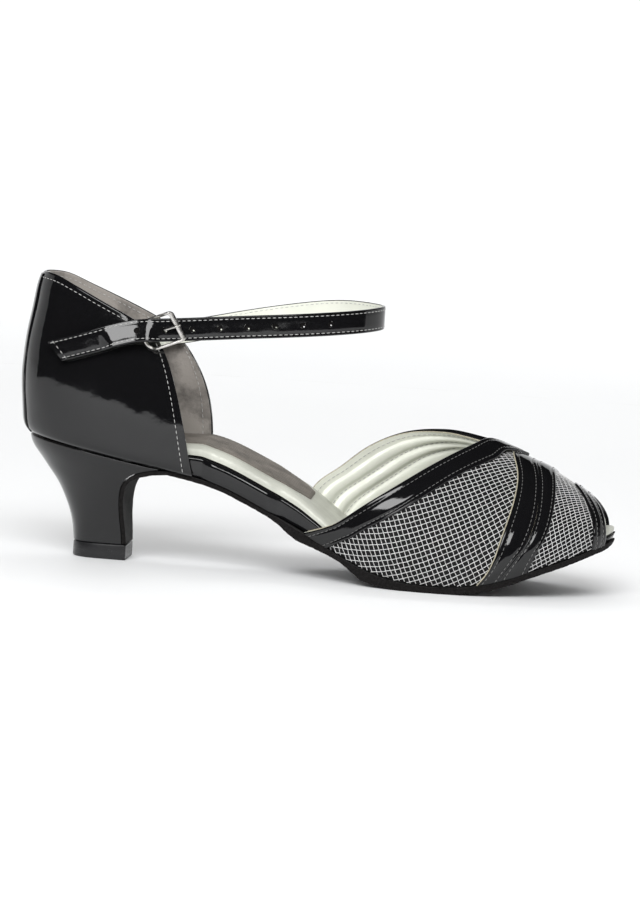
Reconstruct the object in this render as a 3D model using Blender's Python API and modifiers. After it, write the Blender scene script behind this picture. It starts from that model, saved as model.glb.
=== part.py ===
"""A lady's ballroom dance shoe for the right foot, with a peep toe and an open waist.

Every piece follows one last. X runs to the toe, Y to the inner (medial) side of the foot and Z up.
While the pieces are made, x is 0 at the back of the insole board. The finished shoe is then moved
so that the origin lies on the floor, in the middle of its bounding box.
"""
from collections import namedtuple
from math import cos, pi, radians, sin, tan

import bmesh
import bpy
import numpy as np
from mathutils import Vector

# Driving sizes of the last, in metres
LAST_LENGTH = 0.2365
BALL_WIDTH = 0.0745
HEEL_RISE = 0.0462
TOE_SPRING = 0.0207
INSTEP_HEIGHT = 0.0756
ARCH_LIFT = 0.0022
WIDEST_HEIGHT = 0.0085
WALL_BULGE = 0.0016
LATERAL_FULLNESS = 1.85
MEDIAL_FULLNESS = 2.25
WALL_TURN = 0.14
ROUND_SPEED = 4
GIRTH_MIDDLE = 0.5 + (0.5 - WALL_TURN) * (ROUND_SPEED - 1)

# Thicknesses and clearances
SOLE_THICKNESS = 0.0028
WAIST_SOLE = 0.0016
VAMP_WALL = 0.0016
COUNTER_WALL = 0.0020
BAND_THICKNESS = 0.0011
PAD_THICKNESS = 0.0006
GAP = 0.0003
FLAT_DEPTH = 0.0003
BLUNT_END = 0.00025

# Layers under the foot
BOARD_HEIGHT = 0.0088
SOCK_HEIGHT = 0.0042
SOCK_CROWN = 1.04
SOLE_LEDGE = 0.0012
PAD_START = 0.012
PAD_END = 0.112
PAD_MARGIN = 0.0045

# Heel
SEAT_LENGTH = 0.056
TIP_BACK = 0.0201
TIP_LENGTH = 0.0204
TIP_WIDTH = 0.0192
TIP_ROUND = 0.55
TIP_FULLNESS = 2.3
BREAST_BEND = 0.003
WAIST_START = 0.3
WAIST_RUN = 0.1
TOP_LIFT_HEIGHT = 0.0062

# Counter
COUNTER_HEIGHT = 0.0645
COUNTER_FRONT = 0.0690
COUNTER_STAND = 0.0009
BACK_BULGE = 0.0036
SIDE_BULGE = 0.0021
FAN_POWER = 2.2
BACK_ROUND = 0.05
BACK_STRIP_WIDTH = 0.017
BACK_STRIP_THICKNESS = 0.0006

# Throat, toe opening and bands
THROAT_START = 0.1135
THROAT_SETBACK = 0.0525
THROAT_POINT = LAST_LENGTH - THROAT_SETBACK
OPENING_SETBACK = 0.0103
OPENING_POINT = LAST_LENGTH - OPENING_SETBACK
OPENING_DEPTH = 0.0070
TOE_BINDING = 0.0051
CROSSING = 0.53
CROSSING_ROOM = 0.012
BAND_FOOT = 0.015

# Ankle strap and buckle
STRAP_WIDTH = 0.0092
STRAP_THICKNESS = 0.0016
STRAP_SLANT = 0.0050
STRAP_REACH = 0.1385
STRAP_HALF_WIDTH = 0.0270
STRAP_STANDOFF = 0.0015
HOLE_COUNT = 8
HOLE_PITCH = 0.0109
HOLE_DIAMETER = 0.0024
FIRST_HOLE = 0.0372
TAB_THICKNESS = 0.0012
TAB_HEIGHT = 0.0075
BUCKLE_LENGTH = 0.0165
BUCKLE_HEIGHT = 0.0132
BUCKLE_CORNER = 0.0022
BUCKLE_WIRE = 0.0013
PRONG_WIRE = 0.0009
BUCKLE_HOLE = 1
BUCKLE_LEAN = 8
BUCKLE_TILT = 17
BUCKLE_FOLD = 0.0046
BUCKLE_BEND = 0.0018
PRONG_REACH = 0.0054
TAB_LENGTH = 0.011

# The last: one row for each station along the foot. Lateral and medial are half-widths, as shares
# of BALL_WIDTH. Rise, spring, arch and height are shares of HEEL_RISE, TOE_SPRING, ARCH_LIFT and
# INSTEP_HEIGHT, ridge is a share of BALL_WIDTH and bulge one of WALL_BULGE.
Station = namedtuple("Station", "along lateral medial rise spring arch height ridge bulge")
LAST = (
    Station(0.00, 0.000, 0.000, 1.000, 0.000, 0.00, 1.000, 0.000, 0.00),
    Station(0.05, 0.259, 0.256, 0.955, 0.000, 0.00, 1.000, 0.000, 0.00),
    Station(0.10, 0.306, 0.303, 0.910, 0.000, 0.00, 1.000, 0.000, 0.00),
    Station(0.15, 0.322, 0.317, 0.865, 0.000, 0.00, 1.000, 0.000, 0.00),
    Station(0.22, 0.314, 0.298, 0.802, 0.000, 0.10, 1.000, 0.000, 0.00),
    Station(0.28, 0.298, 0.266, 0.748, 0.000, 0.50, 1.000, 0.020, 0.00),
    Station(0.34, 0.287, 0.236, 0.669, 0.000, 0.90, 1.000, 0.050, 0.00),
    Station(0.40, 0.290, 0.226, 0.537, 0.000, 1.00, 1.000, 0.080, 0.20),
    Station(0.46, 0.321, 0.246, 0.399, 0.000, 0.80, 0.995, 0.100, 0.50),
    Station(0.52, 0.377, 0.305, 0.258, 0.000, 0.50, 0.980, 0.110, 0.80),
    Station(0.58, 0.438, 0.382, 0.116, 0.000, 0.20, 0.945, 0.110, 1.00),
    Station(0.63, 0.480, 0.436, 0.035, 0.000, 0.05, 0.900, 0.105, 1.00),
    Station(0.68, 0.502, 0.472, 0.002, 0.000, 0.00, 0.838, 0.095, 1.00),
    Station(0.73, 0.503, 0.487, 0.000, 0.003, 0.00, 0.772, 0.080, 1.00),
    Station(0.78, 0.488, 0.483, 0.000, 0.063, 0.00, 0.702, 0.065, 0.95),
    Station(0.83, 0.460, 0.464, 0.000, 0.213, 0.00, 0.604, 0.048, 0.85),
    Station(0.88, 0.419, 0.431, 0.000, 0.430, 0.00, 0.490, 0.032, 0.80),
    Station(0.92, 0.371, 0.385, 0.000, 0.610, 0.00, 0.377, 0.020, 0.80),
    Station(0.96, 0.287, 0.299, 0.000, 0.805, 0.00, 0.243, 0.010, 0.80),
    Station(1.00, 0.000, 0.000, 0.000, 1.000, 0.00, 0.095, 0.008, 0.80),
)

# The layers under the foot: one row for each station along the last. Board is a share of
# BOARD_HEIGHT and sock one of SOCK_HEIGHT. Wrapped is 1 where an upper stands outside the board and
# 0 where the board shows. Ledge is how far the sole stands out from the feather line, and thin is 1
# where the sole is as thin as WAIST_SOLE.
Layer = namedtuple("Layer", "along board sock wrapped ledge thin")
LAYERS = (
    Layer(0.00, 0.50, 0.75, 1.00, -0.80, 1.00),
    Layer(0.18, 0.55, 0.80, 1.00, -0.80, 1.00),
    Layer(0.27, 0.85, 0.90, 1.00, -0.80, 1.00),
    Layer(0.305, 1.00, 1.00, 1.00, -0.80, 1.00),
    Layer(0.325, 1.00, 1.00, 0.00, -0.80, 1.00),
    Layer(0.422, 1.00, 1.00, 0.00, -0.60, 0.95),
    Layer(0.442, 0.98, 1.00, 1.00, -0.10, 0.50),
    Layer(0.458, 0.95, 0.99, 1.00, 0.20, -0.60),
    Layer(0.476, 0.92, 0.97, 1.00, 0.45, -1.15),
    Layer(0.500, 0.80, 0.92, 1.00, 0.60, -0.40),
    Layer(0.530, 0.61, 0.83, 1.00, 0.78, 0.45),
    Layer(0.553, 0.50, 0.75, 1.00, 0.88, 0.75),
    Layer(0.570, 0.43, 0.69, 1.00, 0.94, 0.00),
    Layer(0.590, 0.35, 0.60, 1.00, 1.00, -1.20),
    Layer(0.640, 0.30, 0.55, 1.00, 1.00, -0.40),
    Layer(0.70, 0.30, 0.50, 1.00, 1.00, 0.00),
    Layer(0.80, 0.30, 0.50, 1.00, 0.95, 0.10),
    Layer(0.87, 0.30, 0.50, 1.00, 0.90, 0.50),
    Layer(0.95, 0.30, 0.55, 1.00, 0.80, 0.50),
    Layer(0.988, 0.30, 0.60, 1.00, 0.70, 0.70),
    Layer(0.995, 0.30, 0.60, 0.20, 0.50, 0.90),
    Layer(1.00, 0.30, 0.60, 0.00, 0.30, 1.00),
)

# The heel from its seat (0) to its tip (1). The other columns say how far each measure has gone
# from its value at the seat to its value at the tip.
HeelLevel = namedtuple("HeelLevel", "down back front width")
HEEL = (
    HeelLevel(0.00, 0.00, 0.00, 0.00),
    HeelLevel(0.04, 0.01, 0.22, 0.03),
    HeelLevel(0.10, 0.06, 0.53, 0.09),
    HeelLevel(0.20, 0.23, 0.86, 0.22),
    HeelLevel(0.30, 0.40, 1.01, 0.36),
    HeelLevel(0.40, 0.57, 1.07, 0.49),
    HeelLevel(0.55, 0.75, 1.09, 0.66),
    HeelLevel(0.70, 0.88, 1.07, 0.80),
    HeelLevel(0.85, 0.96, 1.03, 0.92),
    HeelLevel(1.00, 1.00, 1.00, 1.00),
)

# The counter's swell with height: shares of BACK_BULGE at the back and SIDE_BULGE at the sides
Swell = namedtuple("Swell", "height back side")
SWELL = (
    Swell(0.00, 0.00, 0.00),
    Swell(0.06, 0.47, 0.45),
    Swell(0.13, 0.67, 0.72),
    Swell(0.27, 0.92, 0.96),
    Swell(0.36, 1.00, 1.00),
    Swell(0.46, 0.95, 0.90),
    Swell(0.55, 0.84, 0.67),
    Swell(0.64, 0.65, 0.33),
    Swell(0.74, 0.35, -0.10),
    Swell(0.85, 0.05, -0.60),
    Swell(0.95, -0.28, -1.10),
    Swell(1.00, -0.60, -1.30),
)

# The counter's topline: back to front as shares of COUNTER_FRONT, and heights over the seat's back
# as shares of COUNTER_HEIGHT
Topline = namedtuple("Topline", "along lateral medial")
TOPLINE = (
    Topline(0.00, 1.000, 1.000),
    Topline(0.10, 0.990, 0.985),
    Topline(0.20, 0.955, 0.945),
    Topline(0.39, 0.865, 0.862),
    Topline(0.63, 0.743, 0.755),
    Topline(0.72, 0.690, 0.700),
    Topline(0.78, 0.655, 0.640),
    Topline(0.85, 0.610, 0.565),
)
# The front edge: how far it starts past COUNTER_FRONT, how far it leans back at the top, how
# straight it is and how late it bends
FrontEdge = namedtuple("FrontEdge", "further lean straight bend")
LATERAL_EDGE = FrontEdge(0.0, 0.0192, 0.7, 5.0)
MEDIAL_EDGE = FrontEdge(0.0016, 0.0130, 0.0, 2.8)

# Edges on the vamp: x at each turn from the lateral feather line (0), over the ridge (0.5), to
# the medial feather line (1). Throat and band, the two edges of the throat bands, are shares of
# the way from THROAT_START to THROAT_POINT. Opening is how far the toe opening lies in front of
# OPENING_POINT, as a share of OPENING_DEPTH, and binding is its binding's width as a share of
# TOE_BINDING. Back_band and front_band are the heel edges of the two cross bands and front_end is
# where the front one ends, as shares of LAST_LENGTH. The back band runs up to the front one.
Edge = namedtuple("Edge", "turn throat band opening binding back_band front_band front_end")
EDGES = (
    Edge(0.000,  0.022, 0.168, 0.940, 0.88, 0.7830, 0.8160, 0.8655),
    Edge(0.070,  0.097, 0.225, 1.000, 0.88, 0.7990, 0.8300, 0.8727),
    Edge(0.120,  0.147, 0.268, 1.010, 0.88, 0.8063, 0.8420, 0.8793),
    Edge(0.145,  0.182, 0.302, 1.000, 0.88, 0.8098, 0.8500, 0.8835),
    Edge(0.165,  0.243, 0.362, 1.000, 0.88, 0.8140, 0.8588, 0.8888),
    Edge(0.200,  0.345, 0.487, 0.985, 0.89, 0.8205, 0.8675, 0.8950),
    Edge(0.256,  0.520, 0.680, 0.930, 0.92, 0.8303, 0.8735, 0.8992),
    Edge(0.320,  0.703, 0.862, 0.840, 1.06, 0.8358, 0.8728, 0.9003),
    Edge(0.380,  0.843, 1.012, 0.700, 1.25, 0.8335, 0.8688, 0.8983),
    Edge(0.450,  0.956, 1.110, 0.420, 1.48, 0.8230, 0.8610, 0.8945),
    Edge(0.500,  1.000, 1.125, 0.130, 1.55, 0.8200, 0.8585, 0.8930),
    Edge(0.550,  0.950, 1.110, 0.080, 1.48, 0.8230, 0.8610, 0.8945),
    Edge(0.587,  0.805, 1.010, 0.220, 1.35, 0.8292, 0.8655, 0.8965),
    Edge(0.620,  0.697, 0.890, 0.380, 1.22, 0.8335, 0.8688, 0.8983),
    Edge(0.661,  0.562, 0.760, 0.550, 1.08, 0.8355, 0.8718, 0.8998),
    Edge(0.717,  0.390, 0.595, 0.760, 0.97, 0.8332, 0.8735, 0.9000),
    Edge(0.770,  0.243, 0.450, 0.900, 0.91, 0.8262, 0.8710, 0.8975),
    Edge(0.817,  0.112, 0.305, 0.970, 0.89, 0.8175, 0.8638, 0.8925),
    Edge(0.855, -0.010, 0.190, 1.000, 0.88, 0.8098, 0.8500, 0.8835),
    Edge(0.880, -0.030, 0.165, 1.010, 0.88, 0.8063, 0.8420, 0.8793),
    Edge(0.930, -0.060, 0.125, 1.000, 0.88, 0.7990, 0.8300, 0.8727),
    Edge(1.000, -0.085, 0.090, 0.940, 0.88, 0.7830, 0.8160, 0.8655),
)

# The strap's middle line, from its loose end on the lateral side of the counter, round the instep
# and into the counter on the medial side. Along is a share of STRAP_REACH, across one of
# STRAP_HALF_WIDTH and height one of COUNTER_HEIGHT over the seat's back. Seat is -1 where the strap
# lies outside the counter, 1 where it lies inside and 0 where it is free, and its place across
# then follows the counter.
StrapPoint = namedtuple("StrapPoint", "along across height seat")
STRAP = (
    StrapPoint(0.068, 0.0, 0.518, -1),
    StrapPoint(0.130, 0.0, 0.561, -1),
    StrapPoint(0.215, 0.0, 0.623, -1),
    StrapPoint(0.300, 0.0, 0.679, -1),
    StrapPoint(0.390, -1.045, 0.707, 0),
    StrapPoint(0.470, -1.020, 0.724, 0),
    StrapPoint(0.615, -0.985, 0.757, 0),
    StrapPoint(0.760, -0.930, 0.788, 0),
    StrapPoint(0.880, -0.770, 0.816, 0),
    StrapPoint(0.960, -0.460, 0.837, 0),
    StrapPoint(1.000, 0.000, 0.853, 0),
    StrapPoint(0.960, 0.490, 0.857, 0),
    StrapPoint(0.875, 0.770, 0.856, 0),
    StrapPoint(0.750, 0.900, 0.819, 0),
    StrapPoint(0.615, 0.890, 0.760, 0),
    StrapPoint(0.490, 0.750, 0.698, 0),
    StrapPoint(0.390, 0.0, 0.650, 1),
    StrapPoint(0.310, 0.0, 0.615, 1),
)

COLOURS = {
    "patent": ((0.012, 0.012, 0.013, 1), 0.08, 0),
    "suede": ((0.014, 0.013, 0.013, 1), 0.95, 0),
    "mesh": ((0.16, 0.16, 0.16, 1), 0.6, 0),
    "silver": ((0.50, 0.51, 0.46, 1), 0.4, 0.3),
    "taupe": ((0.22, 0.19, 0.17, 1), 0.7, 0),
    "metal": ((0.8, 0.8, 0.8, 1), 0.15, 1),
}


def smooth(xs, ys):
    """A natural cubic spline through the points."""
    xs, ys = np.asarray(xs, float), np.asarray(ys, float)
    step = np.diff(xs)
    count = len(xs)
    matrix = np.eye(count)
    right = np.zeros(count)
    for i in range(1, count - 1):
        matrix[i, i - 1:i + 2] = step[i - 1], 2 * (step[i - 1] + step[i]), step[i]
        right[i] = 6 * ((ys[i + 1] - ys[i]) / step[i] - (ys[i] - ys[i - 1]) / step[i - 1])
    bend = np.linalg.solve(matrix, right)

    def at(x):
        x = np.asarray(x, float)
        i = np.clip(np.searchsorted(xs, x) - 1, 0, count - 2)
        t = (x - xs[i]) / step[i]
        s = 1 - t
        curve = ((s ** 3 - s) * bend[i] + (t ** 3 - t) * bend[i + 1]) * step[i] ** 2 / 6
        return s * ys[i] + t * ys[i + 1] + curve
    return at


def straight(xs, ys):
    """A line through the points, for columns that must not overshoot."""
    return lambda x: np.interp(x, xs, ys)


def turned(along):
    """An angle that runs evenly round both blunt ends of the outline."""
    return np.arccos(1 - 2 * np.clip(along, 0, 1))


def girth(turn):
    """A turn made even with the way round the vamp: a turn on the low wall is a shorter way."""
    up = np.minimum(turn, 1 - np.asarray(turn, float))
    way = up + np.clip(up - WALL_TURN, 0, 1) * (ROUND_SPEED - 1)
    return np.where(np.asarray(turn) > 0.5, 2 * GIRTH_MIDDLE - way, way)


def column(table, name, key, fit=smooth, warp=lambda value: value):
    """A column of a table as a function of its first column."""
    places = [float(warp(getattr(row, key))) for row in table]
    return fit(places, [getattr(row, name) for row in table])


LAST_CURVES = {name: column(LAST, name, "along", warp=turned) for name in Station._fields[1:]}
LAYER_CURVES = {name: column(LAYERS, name, "along", straight) for name in Layer._fields[1:]}
HEEL_CURVES = {name: column(HEEL, name, "down") for name in HeelLevel._fields[1:]}
SWELL_CURVES = {name: column(SWELL, name, "height") for name in Swell._fields[1:]}
TOPLINE_CURVES = {name: column(TOPLINE, name, "along") for name in Topline._fields[1:]}
EDGE_CURVES = {name: column(EDGES, name, "turn", warp=girth) for name in Edge._fields[1:]}


def last(name, x):
    return LAST_CURVES[name](turned(np.asarray(x, float) / LAST_LENGTH))


def layer(name, x):
    return LAYER_CURVES[name](np.asarray(x, float) / LAST_LENGTH)


def edge_at(name, turn):
    return EDGE_CURVES[name](girth(turn))


def outline(x, side):
    """The half-width of the feather line; side is -1 on the lateral side and 1 on the medial."""
    return BALL_WIDTH * np.where(np.asarray(side) < 0, last("lateral", x), last("medial", x))


def feather(x, share=0.0):
    """The height of the feather line; share is 0 on the lateral side and 1 on the medial side."""
    return (SOLE_THICKNESS + HEEL_RISE * last("rise", x) + TOE_SPRING * last("spring", x)
            + ARCH_LIFT * last("arch", x) * share)


def section(x, turn):
    """A point on the vamp's outer surface, turned from the lateral feather line (0), over the
    ridge (0.5), to the medial feather line (1)."""
    x, turn = np.broadcast_arrays(np.asarray(x, float), np.asarray(turn, float))
    height = INSTEP_HEIGHT * last("height", x)
    low = np.minimum(WIDEST_HEIGHT, 0.3 * height)
    bulge = WALL_BULGE * last("bulge", x)
    ridge = BALL_WIDTH * last("ridge", x)
    base = feather(x, turn)
    side = np.where(turn < 0.5, -1.0, 1.0)
    reach = outline(x, side) - side * ridge + bulge
    fullness = np.where(turn < 0.5, LATERAL_FULLNESS, MEDIAL_FULLNESS)
    up = np.minimum(turn, 1 - turn)
    wall = np.clip(up / WALL_TURN, 0, 1)
    angle = np.clip((up - WALL_TURN) / (0.5 - WALL_TURN), 0, 1) * pi / 2
    y_over = ridge + side * reach * np.cos(angle) ** (2 / fullness)
    z_over = base + low + (height - low) * np.sin(angle) ** (2 / fullness)
    y_wall = ridge + side * (reach - bulge * (1 - wall) ** 2)
    z_wall = base + low * wall
    lower = up < WALL_TURN
    return np.stack([x, np.where(lower, y_wall, y_over), np.where(lower, z_wall, z_over)], -1)


def raised(x, turn, lift):
    """The vamp's surface moved out by a distance."""
    step = 1e-3
    along = section(x + 1e-4, turn) - section(x - 1e-4, turn)
    over = section(x, np.clip(turn + step, 0, 1)) - section(x, np.clip(turn - step, 0, 1))
    normal = np.cross(along, over)
    normal /= np.linalg.norm(normal, axis=-1, keepdims=True)
    return section(x, turn) + normal * lift


def throat(turn):
    """Where the throat's edge lies along the last."""
    return THROAT_START + (THROAT_POINT - THROAT_START) * edge_at("throat", turn)


def opening(turn):
    """Where the edge of the toe opening lies along the last."""
    return OPENING_POINT + OPENING_DEPTH * edge_at("opening", turn)


def collection(name):
    group = bpy.data.collections.new(name)
    bpy.context.scene.collection.children.link(group)
    return group


def material(name):
    if name in bpy.data.materials:
        return bpy.data.materials[name]
    colour, roughness, metallic = COLOURS[name.split(".")[0]]
    made = bpy.data.materials.new(name)
    made.use_nodes = True
    shader = made.node_tree.nodes["Principled BSDF"]
    shader.inputs["Base Color"].default_value = colour
    shader.inputs["Roughness"].default_value = roughness
    shader.inputs["Metallic"].default_value = metallic
    made.diffuse_color = colour
    return made


def add_mesh(name, finish, points, faces):
    """An object of the shoe from its points and faces, with a material of its own."""
    mesh = bpy.data.meshes.new(name)
    mesh.from_pydata([tuple(map(float, point)) for point in points], [], faces)
    mesh.materials.append(material(finish + "." + name))
    mesh.shade_smooth()
    mesh.set_sharp_from_angle(angle=radians(40))
    made = bpy.data.objects.new(name, mesh)
    bpy.data.collections["ballroom_shoe"].objects.link(made)
    return made


def sheet(name, finish, grid, thickness):
    """An open surface thickened inward with Solidify. The grid lies on the outer face."""
    rows, columns = grid.shape[:2]
    middle = grid[rows // 2, columns // 2]
    side = np.cross(grid[rows // 2 + 1, columns // 2] - middle, grid[rows // 2, columns // 2 + 1] - middle)
    inside = np.array((middle[0], 0.0, middle[2] - BALL_WIDTH / 4))
    outward = np.dot(side, middle - inside) > 0
    faces = []
    for i in range(rows - 1):
        for j in range(columns - 1):
            a = i * columns + j
            face = (a, a + columns, a + columns + 1, a + 1)
            faces.append(face if outward else face[::-1])
    made = add_mesh(name, finish, grid.reshape(-1, 3), faces)
    wall = made.modifiers.new("wall", "SOLIDIFY")
    wall.thickness = thickness
    wall.offset = -1
    wall.use_even_offset = True
    return made


def slab(name, finish, top, bottom):
    """A closed loft between two grids that face each other, such as the faces of a sole."""
    rows, columns = top.shape[:2]
    count = rows * columns
    faces = []
    for i in range(rows - 1):
        for j in range(columns - 1):
            a = i * columns + j
            faces.append((a, a + columns, a + columns + 1, a + 1))
            faces.append((count + a, count + a + 1, count + a + columns + 1, count + a + columns))
    for i in range(rows - 1):
        a = i * columns
        faces.append((a, count + a, count + a + columns, a + columns))
        b = a + columns - 1
        faces.append((b, b + columns, count + b + columns, count + b))
    for j in range(columns - 1):
        faces.append((j, j + 1, count + j + 1, count + j))
        b = (rows - 1) * columns + j
        faces.append((b, count + b, count + b + 1, b + 1))
    return add_mesh(name, finish, np.concatenate([top.reshape(-1, 3), bottom.reshape(-1, 3)]), faces)


def stations(start, end, count):
    """Places along the last, closer together where the outline is blunt."""
    angles = np.linspace(turned(start / LAST_LENGTH), turned(end / LAST_LENGTH), count)
    return LAST_LENGTH * (1 - np.cos(angles)) / 2


def rim(x, side, push):
    """A point on the feather line's outline, pushed out square to it, as x and y."""
    x = np.clip(x, BLUNT_END, LAST_LENGTH - BLUNT_END)
    step = 1e-4
    slope = (outline(x + step, side) - outline(x - step, side)) / (2 * step)
    size = np.sqrt(1 + slope ** 2)
    return x - slope / size * push, side * (outline(x, side) + push / size)


def footprint(x, push, shares):
    """Rows across the foot from the lateral to the medial rim, as grids of x, y and share."""
    left_x, left_y = rim(x, -1, push)
    right_x, right_y = rim(x, 1, push)
    share = np.broadcast_to(shares, (len(x), len(shares)))
    grid_x = left_x[:, None] + (right_x - left_x)[:, None] * share
    grid_y = left_y[:, None] + (right_y - left_y)[:, None] * share
    return grid_x, grid_y, share


def inset(x):
    """How far the board and the sock lie inside the feather line."""
    wall = np.where(x < 0.5 * LAST_LENGTH, COUNTER_WALL - COUNTER_STAND, VAMP_WALL)
    return layer("wrapped", x) * (wall + 2 * GAP)


def board_height(x):
    return BOARD_HEIGHT * layer("board", x)


def sock_height(x):
    return SOCK_HEIGHT * layer("sock", x)


def make_insole_board():
    x = stations(BLUNT_END, LAST_LENGTH - BLUNT_END, 42)
    grid_x, grid_y, share = footprint(x, -inset(x), np.linspace(0, 1, 5))
    under = feather(grid_x, share)
    bottom = np.stack([grid_x, grid_y, under], -1)
    top = np.stack([grid_x, grid_y, under + board_height(grid_x)], -1)
    return slab("insole_board", "patent", top, bottom)


def make_sock():
    """The padded sock, with its edges rolled down."""
    x = stations(BLUNT_END, LAST_LENGTH - BLUNT_END, 42)
    shares = np.array((0, 0.035, 0.12, 0.5, 0.88, 0.965, 1))
    roll = np.array((0.45, 0.82, 1, SOCK_CROWN, 1, 0.82, 0.45))
    grid_x, grid_y, share = footprint(x, -inset(x), shares)
    under = feather(grid_x, share) + board_height(grid_x) + GAP
    bottom = np.stack([grid_x, grid_y, under], -1)
    top = np.stack([grid_x, grid_y, under + sock_height(grid_x) * roll], -1)
    return slab("sock", "silver", top, bottom)


def make_heel_pad():
    """The textile patch on the sock, from the heel to the end of the waist."""
    x = np.linspace(PAD_START, PAD_END, 16)
    middle = (2 * x - PAD_START - PAD_END) / (PAD_END - PAD_START)
    narrow = (outline(x, 1) - inset(x)) * (1 - np.sqrt(1 - 0.7 * middle ** 10))
    grid_x, grid_y, share = footprint(x, -inset(x) - PAD_MARGIN - narrow, np.linspace(0, 1, 5))
    under = feather(grid_x, 0.15 + 0.7 * share) + board_height(grid_x) + sock_height(grid_x) * SOCK_CROWN
    bottom = np.stack([grid_x, grid_y, under + 2 * GAP], -1)
    return slab("heel_pad", "taupe", bottom + (0, 0, PAD_THICKNESS), bottom)


def tip_half_width(share):
    """The heel tip's half-width from its back (0) to its breast (1)."""
    round_end = np.clip(share / TIP_ROUND, 0.01, 1)
    return TIP_WIDTH / 2 * (1 - (1 - round_end) ** TIP_FULLNESS) ** (1 / TIP_FULLNESS)


def heel_ring(down, shares, longer=0.0):
    """The two sides of the heel at one level, from back to breast."""
    seat_x = BLUNT_END + (SEAT_LENGTH - BLUNT_END) * shares
    tip_x = TIP_BACK + (TIP_LENGTH + longer) * shares
    blend = HEEL_CURVES["back"](down) * (1 - shares) + HEEL_CURVES["front"](down) * shares
    x = seat_x + (tip_x - seat_x) * blend
    sides = []
    for side in (-1, 1):
        seat_z = feather(x, 0.5 + 0.5 * side) - GAP
        z = seat_z + (TOP_LIFT_HEIGHT + GAP - seat_z) * down
        seat = outline(seat_x, side)
        y = side * (seat + (tip_half_width(shares) - seat) * HEEL_CURVES["width"](down))
        sides.append(np.stack([x, y, z], -1))
    return sides


def make_heel():
    shares = 1 - np.cos(np.linspace(0, 1, 11) * pi / 2)
    levels = []
    for row in HEEL:
        lateral_side, medial_side = heel_ring(row.down, shares)
        levels.append(np.concatenate([lateral_side, medial_side[::-1]]))
    count = 2 * len(shares)
    faces = []
    for level in range(len(levels) - 1):
        for i in range(count):
            j = (i + 1) % count
            a, b = level * count, (level + 1) * count
            faces.append((a + i, b + i, b + j, a + j))
    for level, top in ((0, True), (len(levels) - 1, False)):
        for i in range(len(shares) - 1):
            a = level * count
            face = (a + i, a + i + 1, a + count - 2 - i, a + count - 1 - i)
            faces.append(face if top else face[::-1])
    return add_mesh("heel", "patent", np.concatenate(levels), faces)


def make_top_lift():
    """The lift under the heel: the tip's outline as a flat curve, extruded."""
    shares = 1 - np.cos(np.linspace(0, 1, 11) * pi / 2)
    lateral_side, medial_side = heel_ring(1.0, shares, WAIST_SOLE + GAP)
    ring = np.concatenate([lateral_side, medial_side[::-1]])
    curve = bpy.data.curves.new("top_lift", "CURVE")
    curve.dimensions = "2D"
    curve.fill_mode = "BOTH"
    curve.extrude = TOP_LIFT_HEIGHT / 2
    line = curve.splines.new("POLY")
    line.points.add(len(ring) - 1)
    for point, place in zip(line.points, ring):
        point.co = (place[0], place[1], 0, 1)
    line.use_cyclic_u = True
    return from_curve(curve, "patent", (0, 0, TOP_LIFT_HEIGHT / 2))


def from_curve(curve, finish, location=(0, 0, 0)):
    """A curve made into a closed mesh object, with its caps welded."""
    name = curve.name
    guide = bpy.data.objects.new(name + "_guide", curve)
    bpy.context.scene.collection.objects.link(guide)
    depsgraph = bpy.context.evaluated_depsgraph_get()
    mesh = bpy.data.meshes.new_from_object(guide.evaluated_get(depsgraph))
    bpy.data.objects.remove(guide)
    bpy.data.curves.remove(curve)
    form = bmesh.new()
    form.from_mesh(mesh)
    bmesh.ops.remove_doubles(form, verts=form.verts, dist=1e-5)
    bmesh.ops.recalc_face_normals(form, faces=form.faces)
    form.to_mesh(mesh)
    form.free()
    mesh.name = name
    mesh.materials.clear()
    mesh.materials.append(material(finish + "." + name))
    mesh.shade_smooth()
    mesh.set_sharp_from_angle(angle=radians(40))
    made = bpy.data.objects.new(name, mesh)
    made.location = location
    bpy.data.collections["ballroom_shoe"].objects.link(made)
    return made


def make_outsole():
    """The suede sole: down the heel's breast, along the waist and under the forepart."""
    shares = np.linspace(0, 1, 5)
    front = np.array([1.0])
    rows = []
    for down in np.linspace(1.0, 0.04, 14):
        lateral_side, medial_side = heel_ring(down, front)
        row = lateral_side + (medial_side - lateral_side) * shares[:, None]
        rows.append(row + (GAP, 0, -GAP * (1 - down)))
    x = stations(SEAT_LENGTH + BREAST_BEND, LAST_LENGTH - BLUNT_END, 40)
    grid_x, grid_y, share = footprint(x, SOLE_LEDGE * layer("ledge", x), shares)
    top = np.stack([grid_x, grid_y, feather(x[:, None], share) - GAP], -1)
    top = np.concatenate([np.array(rows), top])
    middle = top[:, 2, :]
    path_x = np.gradient(middle[:, 0])
    path_z = np.gradient(middle[:, 2])
    size = np.hypot(path_x, path_z)
    place = np.clip(middle[:, 0], 0, LAST_LENGTH)
    thick = SOLE_THICKNESS - (SOLE_THICKNESS - WAIST_SOLE) * layer("thin", place)
    upright = np.clip((middle[:, 0] / LAST_LENGTH - WAIST_START) / WAIST_RUN, 0, 1)
    away_x = path_z / size * (1 - upright)
    away_z = -path_x / size * (1 - upright) - upright
    bottom = top + np.stack([away_x, 0 * away_x, away_z], -1)[:, None, :] * thick[:, None, None]
    bottom[:, :, 2] = np.maximum(bottom[:, :, 2] - (FLAT_DEPTH - GAP) * upright[:, None], 0)
    return slab("outsole", "suede", top, bottom)


def counter_base(side, edge):
    """The feather line round the heel: its length from the back to the front, and x against the
    share of that way."""
    x = stations(0, COUNTER_FRONT + edge.further, 300)
    y = outline(x, side)
    way = np.concatenate([[0], np.cumsum(np.hypot(np.diff(x), np.diff(y)))])
    return way[-1], straight(way / way[-1], x)


BASES = {-1: counter_base(-1, LATERAL_EDGE), 1: counter_base(1, MEDIAL_EDGE)}


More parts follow.
